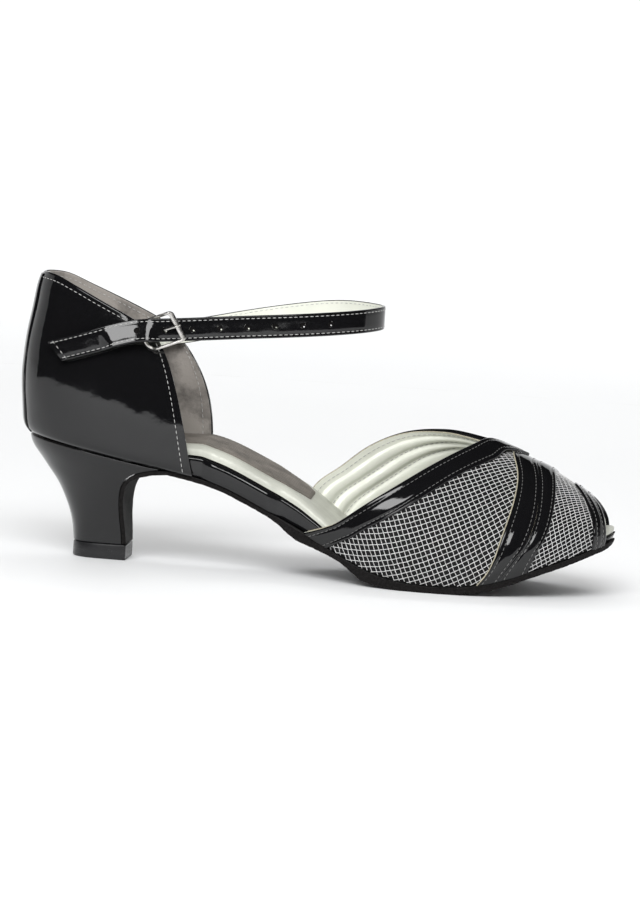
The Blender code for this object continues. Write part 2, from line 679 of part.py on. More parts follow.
def counter_at(place, height, lift=0.0):
    """A point on the counter's outer face. Place runs from -1 at the lateral front edge, round the
    back, to 1 at the medial front edge. Height is 0 at the seat and 1 at the topline."""
    side = -1 if place < 0 else 1
    edge = LATERAL_EDGE if side < 0 else MEDIAL_EDGE
    line = "lateral" if side < 0 else "medial"
    base_x = BASES[side][1](abs(place))
    fan = abs(place) ** FAN_POWER
    base_z = feather(base_x, 0.5 + 0.5 * side * abs(place))
    top_x = base_x - edge.lean * fan
    top_z = feather(0) + COUNTER_HEIGHT * TOPLINE_CURVES[line](top_x / COUNTER_FRONT)
    z = base_z + (top_z - base_z) * height
    lean = edge.lean * fan * (edge.straight * height + (1 - edge.straight) * height ** edge.bend)
    start_x, start_y = rim(base_x, side, 0.0)
    push_x, push_y = rim(base_x, side, 1.0)
    level = (z - base_z) / COUNTER_HEIGHT
    roundness = min(abs(place) / BACK_ROUND, 1.0)
    back = (push_x - start_x) ** 2
    out = BACK_BULGE * SWELL_CURVES["back"](level) * back
    out = out + SIDE_BULGE * SWELL_CURVES["side"](level) * (1 - back) + COUNTER_STAND + lift
    y = start_y * roundness + (push_y - start_y) * roundness * out
    return np.array((start_x - lean + (push_x - start_x) * out, y, z))


def counter_grid(places, heights, lift=0.0):
    return np.array([[counter_at(place, height, lift) for height in heights] for place in places])


def make_counter():
    front_places = np.linspace(0.3, 1, 11)
    places = np.concatenate([-front_places[::-1], np.linspace(-0.22, 0.22, 9), front_places])
    heights = np.array((0, 0.03, 0.09, 0.18, 0.3, 0.43, 0.57, 0.7, 0.82, 0.92, 0.975, 1))
    return sheet("counter", "patent", counter_grid(places, heights), COUNTER_WALL)


def make_back_strip():
    """The patent strip over the back seam."""
    places = np.linspace(-BACK_STRIP_WIDTH / 2 / BASES[-1][0], BACK_STRIP_WIDTH / 2 / BASES[1][0], 9)
    heights = np.linspace(0.02, 0.985, 12)
    grid = counter_grid(places, heights, 1.5 * GAP + BACK_STRIP_THICKNESS)
    return sheet("back_strip", "patent", grid, BACK_STRIP_THICKNESS)


SIDES = {}


def counter_side(x, z, side):
    """The half-width of the counter's outer face at a place in the side view."""
    if side not in SIDES:
        places = side * np.linspace(0.1, 1, 60)
        SIDES[side] = counter_grid(places, np.linspace(0.2, 1, 40)).reshape(-1, 3)
    grid = SIDES[side]
    far = (grid[:, 0] - x) ** 2 + (grid[:, 2] - z) ** 2
    near = np.argsort(far)[:4]
    weight = 1 / (far[near] + 1e-9)
    return float(np.abs(np.sum(grid[near, 1] * weight) / np.sum(weight)))


def vamp_grid(edge_back, edge_front, turn, rows, lift=0.0):
    """A panel of the vamp between two edges that are functions of the turn."""
    back = edge_back(turn)
    front = edge_front(turn)
    ways = np.linspace(0, 1, rows)
    x = back[None, :] + (front - back)[None, :] * ways[:, None]
    return raised(x, np.broadcast_to(turn, x.shape), lift)


def make_vamp():
    low = (0, 0.035, 0.07, 0.105)
    over = np.linspace(0.14, 0.86, 25)
    turn = np.concatenate([low, over, 1 - np.array(low)[::-1]])
    return sheet("vamp", "mesh", vamp_grid(throat, opening, turn, 17), VAMP_WALL)


def share_edge(name, short=0.0):
    """An edge of a cross band, kept as a share of the last's length, and stopped short of it."""
    return lambda turn: LAST_LENGTH * edge_at(name, turn) - short


def make_bands():
    """The patent bands on the vamp. The lateral throat band crosses over the medial one."""
    lift = GAP + BAND_THICKNESS

    def band_edge(turn):
        return THROAT_START + (THROAT_POINT - THROAT_START) * edge_at("band", turn)

    def binding_edge(turn):
        return opening(turn) - TOE_BINDING * edge_at("binding", turn)
    start, end = BAND_FOOT, 1 - BAND_FOOT
    front_band = share_edge("front_band")
    panels = (
        ("throat_band_lateral", throat, band_edge, start, CROSSING, 22),
        ("throat_band_medial", throat, band_edge, CROSSING + CROSSING_ROOM, end, 20),
        ("cross_band_back", share_edge("back_band"), share_edge("front_band", GAP), start, end, 30),
        ("cross_band_front", front_band, share_edge("front_end"), start, end, 30),
        ("toe_binding", binding_edge, opening, start, end, 28),
    )
    for name, back, front, first, final, count in panels:
        grid = vamp_grid(back, front, np.linspace(first, final, count), 3, lift)
        sheet(name, "patent", grid, BAND_THICKNESS)


def strap_line():
    """The strap's middle line as points."""
    points = []
    for row in STRAP:
        x = STRAP_REACH * row.along
        z = float(feather(0)) + COUNTER_HEIGHT * row.height
        y = STRAP_HALF_WIDTH * row.across
        if row.seat < 0:
            y = -counter_side(x, z, -1) - TAB_THICKNESS - STRAP_STANDOFF - STRAP_THICKNESS / 2
        if row.seat > 0:
            y = counter_side(x, z, 1) - COUNTER_WALL - STRAP_STANDOFF - STRAP_THICKNESS / 2
        points.append((x, y, z))
    points = np.array(points)
    way = np.concatenate([[0], np.cumsum(np.linalg.norm(np.diff(points, axis=0), axis=1))])
    return way[-1], [smooth(way, points[:, axis]) for axis in range(3)]


def strap_frame(curves, way):
    """The strap's place, its run, its outward side and its upward side at a distance along it."""
    place = np.array([float(curve(way)) for curve in curves])
    ahead = np.array([float(curve(way + 5e-4)) for curve in curves])
    behind = np.array([float(curve(way - 5e-4)) for curve in curves])
    run = (ahead - behind) / np.linalg.norm(ahead - behind)
    out = np.array((run[1], -run[0], 0.0))
    out /= np.linalg.norm(out)
    return place, run, out, np.cross(out, run)


def make_strap(length, curves):
    """The ankle strap with its slanted end, and its holes cut through."""
    outer, inner = [], []
    for share in np.linspace(0, 1, 64):
        outer_row, inner_row = [], []
        for level in (-1, 0, 1):
            start = STRAP_SLANT * (1 - level) / 2
            place, _, out, up = strap_frame(curves, start + (length - start) * share)
            place = place + up * STRAP_WIDTH / 2 * level
            outer_row.append(place + out * STRAP_THICKNESS / 2)
            inner_row.append(place - out * STRAP_THICKNESS / 2)
        outer.append(outer_row)
        inner.append(inner_row)
    strap = slab("ankle_strap", "patent", np.array(inner), np.array(outer))
    for number in range(HOLE_COUNT):
        place, _, out, _ = strap_frame(curves, FIRST_HOLE + HOLE_PITCH * number)
        cutter = round_cutter("strap_hole_%d" % (number + 1), place, out)
        cut = strap.modifiers.new(cutter.name, "BOOLEAN")
        cut.object = cutter
        cut.operation = "DIFFERENCE"
    return strap


def round_cutter(name, place, axis):
    bpy.ops.mesh.primitive_cylinder_add(vertices=10, radius=HOLE_DIAMETER / 2, depth=4 * STRAP_THICKNESS)
    cutter = bpy.context.object
    cutter.name = name
    cutter.rotation_mode = "QUATERNION"
    cutter.rotation_quaternion = Vector(axis).to_track_quat("Z", "Y")
    cutter.location = place
    cutter.hide_render = True
    cutter.display_type = "WIRE"
    for group in list(cutter.users_collection):
        group.objects.unlink(cutter)
    bpy.data.collections["cutters"].objects.link(cutter)
    return cutter


def beside_strap(curves, way, level, depth):
    """A point beside the strap: up from its middle line, and outward from it."""
    place, _, out, up = strap_frame(curves, way)
    return place + up * level + out * depth


def wire(name, points, thickness, closed):
    curve = bpy.data.curves.new(name, "CURVE")
    curve.dimensions = "3D"
    curve.bevel_depth = thickness / 2
    curve.bevel_resolution = 2
    curve.use_fill_caps = not closed
    line = curve.splines.new("POLY")
    line.points.add(len(points) - 1)
    for point, place in zip(line.points, points):
        point.co = (*place, 1)
    line.use_cyclic_u = closed
    return from_curve(curve, "metal")


def buckle_place(x, z):
    """A place in the buckle's own plane as a way along the strap and a level beside its middle line.
    The buckle swings about the hole that the prong goes through."""
    tilt = radians(BUCKLE_TILT)
    ahead = x + PRONG_REACH - (BUCKLE_LENGTH - BUCKLE_WIRE) / 2 - z * tan(radians(BUCKLE_LEAN))
    way = FIRST_HOLE + HOLE_PITCH * BUCKLE_HOLE + ahead * cos(tilt) - z * sin(tilt)
    return way, ahead * sin(tilt) + z * cos(tilt)


def make_buckle(curves):
    """A wire frame: its toe side lies over the strap and its heel side under it."""
    over = STRAP_THICKNESS / 2 + GAP + BUCKLE_WIRE / 2
    half = (BUCKLE_LENGTH - BUCKLE_WIRE) / 2
    tall = (BUCKLE_HEIGHT - BUCKLE_WIRE) / 2
    ring = []
    for corner, (side, level) in enumerate(((1, 1), (-1, 1), (-1, -1), (1, -1))):
        for step in range(4):
            angle = (corner + step / 3) * pi / 2
            x = side * (half - BUCKLE_CORNER) + BUCKLE_CORNER * cos(angle)
            ring.append((x, level * (tall - BUCKLE_CORNER) + BUCKLE_CORNER * sin(angle)))
        if side == level:
            fold = level * BUCKLE_FOLD
            ring.extend((fold + level * share * BUCKLE_BEND, level * tall) for share in (1, -1))
    points = []
    for x, z in ring:
        bend = np.clip((x - BUCKLE_FOLD * z / tall) / BUCKLE_BEND, -1, 1)
        points.append(beside_strap(curves, *buckle_place(x, z), over * bend))
    wire("buckle_frame", points, BUCKLE_WIRE, True)
    under = -STRAP_THICKNESS / 2 - GAP - PRONG_WIRE / 2
    crest = over + BUCKLE_WIRE / 2 + GAP + PRONG_WIRE / 2
    hole = half - PRONG_REACH
    route = (
        (-half + BUCKLE_WIRE / 2 + 2 * GAP, under),
        (hole - PRONG_WIRE / 2, under),
        (hole + PRONG_WIRE / 4, -under),
        (half - BUCKLE_WIRE / 2, crest),
        (half + BUCKLE_WIRE / 2, crest),
    )
    points = [beside_strap(curves, *buckle_place(x, 0), depth) for x, depth in route]
    wire("buckle_prong", points, PRONG_WIRE, False)


def make_buckle_tab(curves):
    """The tab that holds the buckle to the counter, behind the strap's loose end."""
    slope = radians(BUCKLE_TILT + BUCKLE_LEAN)
    heel_bar = (PRONG_REACH + BUCKLE_WIRE - BUCKLE_LENGTH) * cos(radians(BUCKLE_LEAN))
    end = FIRST_HOLE + HOLE_PITCH * BUCKLE_HOLE + (heel_bar - BUCKLE_WIRE / 2 - GAP) / cos(slope)
    rows = []
    for share in np.linspace(0, 1, 8):
        row = []
        for level in (-TAB_HEIGHT / 2, 0, TAB_HEIGHT / 2):
            way = end - TAB_LENGTH * (1 - share) - level * tan(slope)
            point = beside_strap(curves, way, level, 0)
            y = -counter_side(point[0], point[2], -1) - GAP - TAB_THICKNESS
            row.append((point[0], y, point[2]))
        rows.append(row)
    return sheet("buckle_tab", "patent", np.array(rows), TAB_THICKNESS)


def stand_on_origin():
    """Moves the shoe so that the origin is in the middle of its box, on the floor."""
    depsgraph = bpy.context.evaluated_depsgraph_get()
    corners = []
    for item in bpy.data.collections["ballroom_shoe"].objects:
        box = item.evaluated_get(depsgraph)
        corners.extend(box.matrix_world @ vertex.co for vertex in box.data.vertices)
    middle = [(min(c[i] for c in corners) + max(c[i] for c in corners)) / 2 for i in (0, 1)]
    bottom = min(corner.z for corner in corners)
    for group in ("ballroom_shoe", "cutters"):
        for item in bpy.data.collections[group].objects:
            item.location -= Vector((middle[0], middle[1], bottom))


def main():
    for item in list(bpy.data.objects):
        bpy.data.objects.remove(item)
    collection("ballroom_shoe")
    collection("cutters")
    make_outsole()
    make_top_lift()
    make_heel()
    make_insole_board()
    make_sock()
    make_heel_pad()
    make_counter()
    make_back_strip()
    make_vamp()
    make_bands()
    length, curves = strap_line()
    make_strap(length, curves)
    make_buckle(curves)
    make_buckle_tab(curves)
    stand_on_origin()


main()
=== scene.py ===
"""The looks of a ballroom dance shoe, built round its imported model.

Every piece follows one last, as the solids do. X runs to the toe, Y to the inner (medial) side of
the foot and Z up. While a piece is made, x is 0 at the back of the insole board, and add_piece then
moves its points by ORIGIN, so that each object stays at the origin with its place in its mesh.
"""
from collections import namedtuple
from math import cos, pi, radians, sin, tan

import bmesh
import bpy
import numpy as np
from mathutils import Matrix, Vector, noise


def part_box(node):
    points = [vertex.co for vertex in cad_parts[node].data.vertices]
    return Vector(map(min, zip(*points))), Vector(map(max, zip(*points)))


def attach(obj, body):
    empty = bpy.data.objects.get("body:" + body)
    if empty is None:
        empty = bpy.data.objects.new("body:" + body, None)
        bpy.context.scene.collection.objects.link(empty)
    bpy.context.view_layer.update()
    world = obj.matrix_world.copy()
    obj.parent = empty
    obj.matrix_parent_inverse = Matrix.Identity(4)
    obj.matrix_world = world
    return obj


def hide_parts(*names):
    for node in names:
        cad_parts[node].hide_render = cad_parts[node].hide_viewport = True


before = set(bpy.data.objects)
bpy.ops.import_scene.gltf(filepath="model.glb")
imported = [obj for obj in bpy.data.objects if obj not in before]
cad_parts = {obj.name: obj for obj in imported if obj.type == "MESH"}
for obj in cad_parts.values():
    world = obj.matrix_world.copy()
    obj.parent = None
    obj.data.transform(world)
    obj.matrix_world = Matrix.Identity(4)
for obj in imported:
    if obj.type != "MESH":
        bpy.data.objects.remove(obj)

bl_info = {
    "name": "Ballroom shoe looks",
    "version": (1, 0, 0),
    "blender": (4, 5, 0),
    "location": "3D View > Sidebar > Shoe",
    "description": "Makes the visible pieces of a ballroom dance shoe round its packed model",
    "category": "Object",
}

# Driving sizes of the last, in metres
LAST_LENGTH = 0.2365
BALL_WIDTH = 0.0745
HEEL_RISE = 0.0462
TOE_SPRING = 0.0207
INSTEP_HEIGHT = 0.0756
ARCH_LIFT = 0.0022
WIDEST_HEIGHT = 0.0085
WALL_BULGE = 0.0016
LATERAL_FULLNESS = 1.85
MEDIAL_FULLNESS = 2.25
WALL_TURN = 0.14
ROUND_SPEED = 4
GIRTH_MIDDLE = 0.5 + (0.5 - WALL_TURN) * (ROUND_SPEED - 1)

# Thicknesses and clearances
SOLE_THICKNESS = 0.0028
WAIST_SOLE = 0.0016
VAMP_WALL = 0.0016
COUNTER_WALL = 0.0020
BAND_THICKNESS = 0.0011
GAP = 0.0003
FLAT_DEPTH = 0.0003
BLUNT_END = 0.00025

# Layers under the foot
BOARD_HEIGHT = 0.0088
SOCK_HEIGHT = 0.0042
SOLE_LEDGE = 0.0012
PAD_START = 0.012
PAD_END = 0.112
PAD_MARGIN = 0.0045

# Heel
SEAT_LENGTH = 0.056
TIP_BACK = 0.0201
TIP_LENGTH = 0.0204
TIP_WIDTH = 0.0192
TIP_ROUND = 0.55
TIP_FULLNESS = 2.3
BREAST_BEND = 0.003
WAIST_START = 0.3
WAIST_RUN = 0.1
TOP_LIFT_HEIGHT = 0.0062

# Counter
COUNTER_HEIGHT = 0.0645
COUNTER_FRONT = 0.0690
COUNTER_STAND = 0.0009
BACK_BULGE = 0.0036
SIDE_BULGE = 0.0021
FAN_POWER = 2.2
BACK_ROUND = 0.05
BACK_STRIP_WIDTH = 0.017
BACK_STRIP_THICKNESS = 0.0006

# Throat, toe opening and bands
THROAT_START = 0.1135
THROAT_SETBACK = 0.0525
THROAT_POINT = LAST_LENGTH - THROAT_SETBACK
OPENING_SETBACK = 0.0103
OPENING_POINT = LAST_LENGTH - OPENING_SETBACK
OPENING_DEPTH = 0.0070
TOE_BINDING = 0.0051

# Ankle strap and buckle
STRAP_WIDTH = 0.0092
STRAP_THICKNESS = 0.0016
STRAP_SLANT = 0.0050
STRAP_REACH = 0.1385
STRAP_HALF_WIDTH = 0.0270
STRAP_STANDOFF = 0.0015
HOLE_COUNT = 8
HOLE_PITCH = 0.0109
HOLE_DIAMETER = 0.0024
FIRST_HOLE = 0.0372
TAB_THICKNESS = 0.0012
TAB_HEIGHT = 0.0075
BUCKLE_LENGTH = 0.0165
BUCKLE_HEIGHT = 0.0132
BUCKLE_WIRE = 0.0013
PRONG_WIRE = 0.0009
BUCKLE_HOLE = 1
BUCKLE_LEAN = 8
BUCKLE_TILT = 17
BUCKLE_FOLD = 0.0046
BUCKLE_BEND = 0.0018
PRONG_REACH = 0.0054
TAB_LENGTH = 0.011

# The last: one row for each station along the foot. Lateral and medial are half-widths, as shares
# of BALL_WIDTH. Rise, spring, arch and height are shares of HEEL_RISE, TOE_SPRING, ARCH_LIFT and
# INSTEP_HEIGHT, ridge is a share of BALL_WIDTH and bulge one of WALL_BULGE.
Station = namedtuple("Station", "along lateral medial rise spring arch height ridge bulge")
LAST = (
    Station(0.00, 0.000, 0.000, 1.000, 0.000, 0.00, 1.000, 0.000, 0.00),
    Station(0.05, 0.259, 0.256, 0.955, 0.000, 0.00, 1.000, 0.000, 0.00),
    Station(0.10, 0.306, 0.303, 0.910, 0.000, 0.00, 1.000, 0.000, 0.00),
    Station(0.15, 0.322, 0.317, 0.865, 0.000, 0.00, 1.000, 0.000, 0.00),
    Station(0.22, 0.314, 0.298, 0.802, 0.000, 0.10, 1.000, 0.000, 0.00),
    Station(0.28, 0.298, 0.266, 0.748, 0.000, 0.50, 1.000, 0.020, 0.00),
    Station(0.34, 0.287, 0.236, 0.669, 0.000, 0.90, 1.000, 0.050, 0.00),
    Station(0.40, 0.290, 0.226, 0.537, 0.000, 1.00, 1.000, 0.080, 0.20),
    Station(0.46, 0.321, 0.246, 0.399, 0.000, 0.80, 0.995, 0.100, 0.50),
    Station(0.52, 0.377, 0.305, 0.258, 0.000, 0.50, 0.980, 0.110, 0.80),
    Station(0.58, 0.438, 0.382, 0.116, 0.000, 0.20, 0.945, 0.110, 1.00),
    Station(0.63, 0.480, 0.436, 0.035, 0.000, 0.05, 0.900, 0.105, 1.00),
    Station(0.68, 0.502, 0.472, 0.002, 0.000, 0.00, 0.838, 0.095, 1.00),
    Station(0.73, 0.503, 0.487, 0.000, 0.003, 0.00, 0.772, 0.080, 1.00),
    Station(0.78, 0.488, 0.483, 0.000, 0.063, 0.00, 0.702, 0.065, 0.95),
    Station(0.83, 0.460, 0.464, 0.000, 0.213, 0.00, 0.604, 0.048, 0.85),
    Station(0.88, 0.419, 0.431, 0.000, 0.430, 0.00, 0.490, 0.032, 0.80),
    Station(0.92, 0.371, 0.385, 0.000, 0.610, 0.00, 0.377, 0.020, 0.80),
    Station(0.96, 0.287, 0.299, 0.000, 0.805, 0.00, 0.243, 0.010, 0.80),
    Station(1.00, 0.000, 0.000, 0.000, 1.000, 0.00, 0.095, 0.008, 0.80),
)

# The layers under the foot: one row for each station along the last. Board is a share of
# BOARD_HEIGHT and sock one of SOCK_HEIGHT. Wrapped is 1 where an upper stands outside the board and
# 0 where the board shows. Ledge is how far the sole stands out from the feather line, and thin is 1
# where the sole is as thin as WAIST_SOLE.
Layer = namedtuple("Layer", "along board sock wrapped ledge thin")
LAYERS = (
    Layer(0.00, 0.50, 0.75, 1.00, -0.80, 1.00),
    Layer(0.18, 0.55, 0.80, 1.00, -0.80, 1.00),
    Layer(0.27, 0.85, 0.90, 1.00, -0.80, 1.00),
    Layer(0.305, 1.00, 1.00, 1.00, -0.80, 1.00),
    Layer(0.325, 1.00, 1.00, 0.00, -0.80, 1.00),
    Layer(0.422, 1.00, 1.00, 0.00, -0.60, 0.95),
    Layer(0.442, 0.98, 1.00, 1.00, -0.10, 0.50),
    Layer(0.458, 0.95, 0.99, 1.00, 0.20, -0.60),
    Layer(0.476, 0.92, 0.97, 1.00, 0.45, -1.15),
    Layer(0.500, 0.80, 0.92, 1.00, 0.60, -0.40),
    Layer(0.530, 0.61, 0.83, 1.00, 0.78, 0.45),
    Layer(0.553, 0.50, 0.75, 1.00, 0.88, 0.75),
    Layer(0.570, 0.43, 0.69, 1.00, 0.94, 0.00),
    Layer(0.590, 0.35, 0.60, 1.00, 1.00, -1.20),
    Layer(0.640, 0.30, 0.55, 1.00, 1.00, -0.40),
    Layer(0.70, 0.30, 0.50, 1.00, 1.00, 0.00),
    Layer(0.80, 0.30, 0.50, 1.00, 0.95, 0.10),
    Layer(0.87, 0.30, 0.50, 1.00, 0.90, 0.50),
    Layer(0.95, 0.30, 0.55, 1.00, 0.80, 0.50),
    Layer(0.988, 0.30, 0.60, 1.00, 0.70, 0.70),
    Layer(0.995, 0.30, 0.60, 0.20, 0.50, 0.90),
    Layer(1.00, 0.30, 0.60, 0.00, 0.30, 1.00),
)

# The heel from its seat (0) to its tip (1). The other columns say how far each measure has gone
# from its value at the seat to its value at the tip.
HeelLevel = namedtuple("HeelLevel", "down back front width")
HEEL = (
    HeelLevel(0.00, 0.00, 0.00, 0.00),
    HeelLevel(0.04, 0.01, 0.22, 0.03),
    HeelLevel(0.10, 0.06, 0.53, 0.09),
    HeelLevel(0.20, 0.23, 0.86, 0.22),
    HeelLevel(0.30, 0.40, 1.01, 0.36),
    HeelLevel(0.40, 0.57, 1.07, 0.49),
    HeelLevel(0.55, 0.75, 1.09, 0.66),
    HeelLevel(0.70, 0.88, 1.07, 0.80),
    HeelLevel(0.85, 0.96, 1.03, 0.92),
    HeelLevel(1.00, 1.00, 1.00, 1.00),
)

# The counter's swell with height: shares of BACK_BULGE at the back and SIDE_BULGE at the sides
Swell = namedtuple("Swell", "height back side")
SWELL = (
    Swell(0.00, 0.00, 0.00),
    Swell(0.06, 0.47, 0.45),
    Swell(0.13, 0.67, 0.72),
    Swell(0.27, 0.92, 0.96),
    Swell(0.36, 1.00, 1.00),
    Swell(0.46, 0.95, 0.90),
    Swell(0.55, 0.84, 0.67),
    Swell(0.64, 0.65, 0.33),
    Swell(0.74, 0.35, -0.10),
    Swell(0.85, 0.05, -0.60),
    Swell(0.95, -0.28, -1.10),
    Swell(1.00, -0.60, -1.30),
)

# The counter's topline: back to front as shares of COUNTER_FRONT, and heights over the seat's back
# as shares of COUNTER_HEIGHT
Topline = namedtuple("Topline", "along lateral medial")
TOPLINE = (
    Topline(0.00, 1.000, 1.000),
    Topline(0.10, 0.990, 0.985),
    Topline(0.20, 0.955, 0.945),
    Topline(0.39, 0.865, 0.862),
    Topline(0.63, 0.743, 0.755),
    Topline(0.72, 0.690, 0.700),
    Topline(0.78, 0.655, 0.640),
    Topline(0.85, 0.610, 0.565),
)
# The front edge: how far it starts past COUNTER_FRONT, how far it leans back at the top, how
# straight it is and how late it bends
FrontEdge = namedtuple("FrontEdge", "further lean straight bend")
LATERAL_EDGE = FrontEdge(0.0, 0.0192, 0.7, 5.0)
MEDIAL_EDGE = FrontEdge(0.0016, 0.0130, 0.0, 2.8)

# Edges on the vamp: x at each turn from the lateral feather line (0), over the ridge (0.5), to
# the medial feather line (1). Throat and band, the two edges of the throat bands, are shares of
# the way from THROAT_START to THROAT_POINT. Opening is how far the toe opening lies in front of
# OPENING_POINT, as a share of OPENING_DEPTH, and binding is its binding's width as a share of
# TOE_BINDING. Back_band and front_band are the heel edges of the two cross bands and front_end is
# where the front one ends, as shares of LAST_LENGTH. The back band runs up to the front one.
Edge = namedtuple("Edge", "turn throat band opening binding back_band front_band front_end")
EDGES = (
    Edge(0.000,  0.022, 0.168, 0.940, 0.88, 0.7830, 0.8160, 0.8655),
    Edge(0.070,  0.097, 0.225, 1.000, 0.88, 0.7990, 0.8300, 0.8727),
    Edge(0.120,  0.147, 0.268, 1.010, 0.88, 0.8063, 0.8420, 0.8793),
    Edge(0.145,  0.182, 0.302, 1.000, 0.88, 0.8098, 0.8500, 0.8835),
    Edge(0.165,  0.243, 0.362, 1.000, 0.88, 0.8140, 0.8588, 0.8888),
    Edge(0.200,  0.345, 0.487, 0.985, 0.89, 0.8205, 0.8675, 0.8950),
    Edge(0.256,  0.520, 0.680, 0.930, 0.92, 0.8303, 0.8735, 0.8992),
    Edge(0.320,  0.703, 0.862, 0.840, 1.06, 0.8358, 0.8728, 0.9003),
    Edge(0.380,  0.843, 1.012, 0.700, 1.25, 0.8335, 0.8688, 0.8983),
    Edge(0.450,  0.956, 1.110, 0.420, 1.48, 0.8230, 0.8610, 0.8945),
    Edge(0.500,  1.000, 1.125, 0.130, 1.55, 0.8200, 0.8585, 0.8930),
    Edge(0.550,  0.950, 1.110, 0.080, 1.48, 0.8230, 0.8610, 0.8945),
    Edge(0.587,  0.805, 1.010, 0.220, 1.35, 0.8292, 0.8655, 0.8965),
    Edge(0.620,  0.697, 0.890, 0.380, 1.22, 0.8335, 0.8688, 0.8983),
    Edge(0.661,  0.562, 0.760, 0.550, 1.08, 0.8355, 0.8718, 0.8998),
    Edge(0.717,  0.390, 0.595, 0.760, 0.97, 0.8332, 0.8735, 0.9000),
    Edge(0.770,  0.243, 0.450, 0.900, 0.91, 0.8262, 0.8710, 0.8975),
    Edge(0.817,  0.112, 0.305, 0.970, 0.89, 0.8175, 0.8638, 0.8925),
    Edge(0.855, -0.010, 0.190, 1.000, 0.88, 0.8098, 0.8500, 0.8835),
    Edge(0.880, -0.030, 0.165, 1.010, 0.88, 0.8063, 0.8420, 0.8793),
    Edge(0.930, -0.060, 0.125, 1.000, 0.88, 0.7990, 0.8300, 0.8727),
    Edge(1.000, -0.085, 0.090, 0.940, 0.88, 0.7830, 0.8160, 0.8655),
)

# The strap's middle line, from its loose end on the lateral side of the counter, round the instep
# and into the counter on the medial side. Along is a share of STRAP_REACH, across one of
# STRAP_HALF_WIDTH and height one of COUNTER_HEIGHT over the seat's back. Seat is -1 where the strap
# lies outside the counter, 1 where it lies inside and 0 where it is free, and its place across
# then follows the counter.
StrapPoint = namedtuple("StrapPoint", "along across height seat")
STRAP = (
    StrapPoint(0.068, 0.0, 0.518, -1),
    StrapPoint(0.130, 0.0, 0.561, -1),
    StrapPoint(0.215, 0.0, 0.623, -1),
    StrapPoint(0.300, 0.0, 0.679, -1),
    StrapPoint(0.390, -1.045, 0.707, 0),
    StrapPoint(0.470, -1.020, 0.724, 0),
    StrapPoint(0.615, -0.985, 0.757, 0),
    StrapPoint(0.760, -0.930, 0.788, 0),
    StrapPoint(0.880, -0.770, 0.816, 0),
    StrapPoint(0.960, -0.460, 0.837, 0),
    StrapPoint(1.000, 0.000, 0.853, 0),
    StrapPoint(0.960, 0.490, 0.857, 0),
    StrapPoint(0.875, 0.770, 0.856, 0),
    StrapPoint(0.750, 0.900, 0.819, 0),
    StrapPoint(0.615, 0.890, 0.760, 0),
    StrapPoint(0.490, 0.750, 0.698, 0),
    StrapPoint(0.390, 0.0, 0.650, 1),
    StrapPoint(0.310, 0.0, 0.615, 1),
)


def smooth(xs, ys):
    """A natural cubic spline through the points."""
    xs, ys = np.asarray(xs, float), np.asarray(ys, float)
    step = np.diff(xs)
    count = len(xs)
    matrix = np.eye(count)
    right = np.zeros(count)
    for i in range(1, count - 1):
        matrix[i, i - 1:i + 2] = step[i - 1], 2 * (step[i - 1] + step[i]), step[i]
        right[i] = 6 * ((ys[i + 1] - ys[i]) / step[i] - (ys[i] - ys[i - 1]) / step[i - 1])
    bend = np.linalg.solve(matrix, right)

    def at(x):
        x = np.asarray(x, float)
        i = np.clip(np.searchsorted(xs, x) - 1, 0, count - 2)
        t = (x - xs[i]) / step[i]
        s = 1 - t
        curve = ((s ** 3 - s) * bend[i] + (t ** 3 - t) * bend[i + 1]) * step[i] ** 2 / 6
        return s * ys[i] + t * ys[i + 1] + curve
    return at


def straight(xs, ys):
    """A line through the points, for columns that must not overshoot."""
    return lambda x: np.interp(x, xs, ys)


def turned(along):
    """An angle that runs evenly round both blunt ends of the outline."""
    return np.arccos(1 - 2 * np.clip(along, 0, 1))


def girth(turn):
    """A turn made even with the way round the vamp: a turn on the low wall is a shorter way."""
    up = np.minimum(turn, 1 - np.asarray(turn, float))
    way = up + np.clip(up - WALL_TURN, 0, 1) * (ROUND_SPEED - 1)
    return np.where(np.asarray(turn) > 0.5, 2 * GIRTH_MIDDLE - way, way)


def column(table, name, key, fit=smooth, warp=lambda value: value):
    """A column of a table as a function of its first column."""
    places = [float(warp(getattr(row, key))) for row in table]
    return fit(places, [getattr(row, name) for row in table])


LAST_CURVES = {name: column(LAST, name, "along", warp=turned) for name in Station._fields[1:]}
LAYER_CURVES = {name: column(LAYERS, name, "along", straight) for name in Layer._fields[1:]}
HEEL_CURVES = {name: column(HEEL, name, "down") for name in HeelLevel._fields[1:]}
SWELL_CURVES = {name: column(SWELL, name, "height") for name in Swell._fields[1:]}
TOPLINE_CURVES = {name: column(TOPLINE, name, "along") for name in Topline._fields[1:]}
EDGE_CURVES = {name: column(EDGES, name, "turn", warp=girth) for name in Edge._fields[1:]}


def last(name, x):
    return LAST_CURVES[name](turned(np.asarray(x, float) / LAST_LENGTH))


def layer(name, x):
    return LAYER_CURVES[name](np.asarray(x, float) / LAST_LENGTH)


def edge_at(name, turn):
    return EDGE_CURVES[name](girth(turn))


def outline(x, side):
    """The half-width of the feather line; side is -1 on the lateral side and 1 on the medial."""
    return BALL_WIDTH * np.where(np.asarray(side) < 0, last("lateral", x), last("medial", x))


def feather(x, share=0.0):
    """The height of the feather line; share is 0 on the lateral side and 1 on the medial side."""
    return (SOLE_THICKNESS + HEEL_RISE * last("rise", x) + TOE_SPRING * last("spring", x)
            + ARCH_LIFT * last("arch", x) * share)


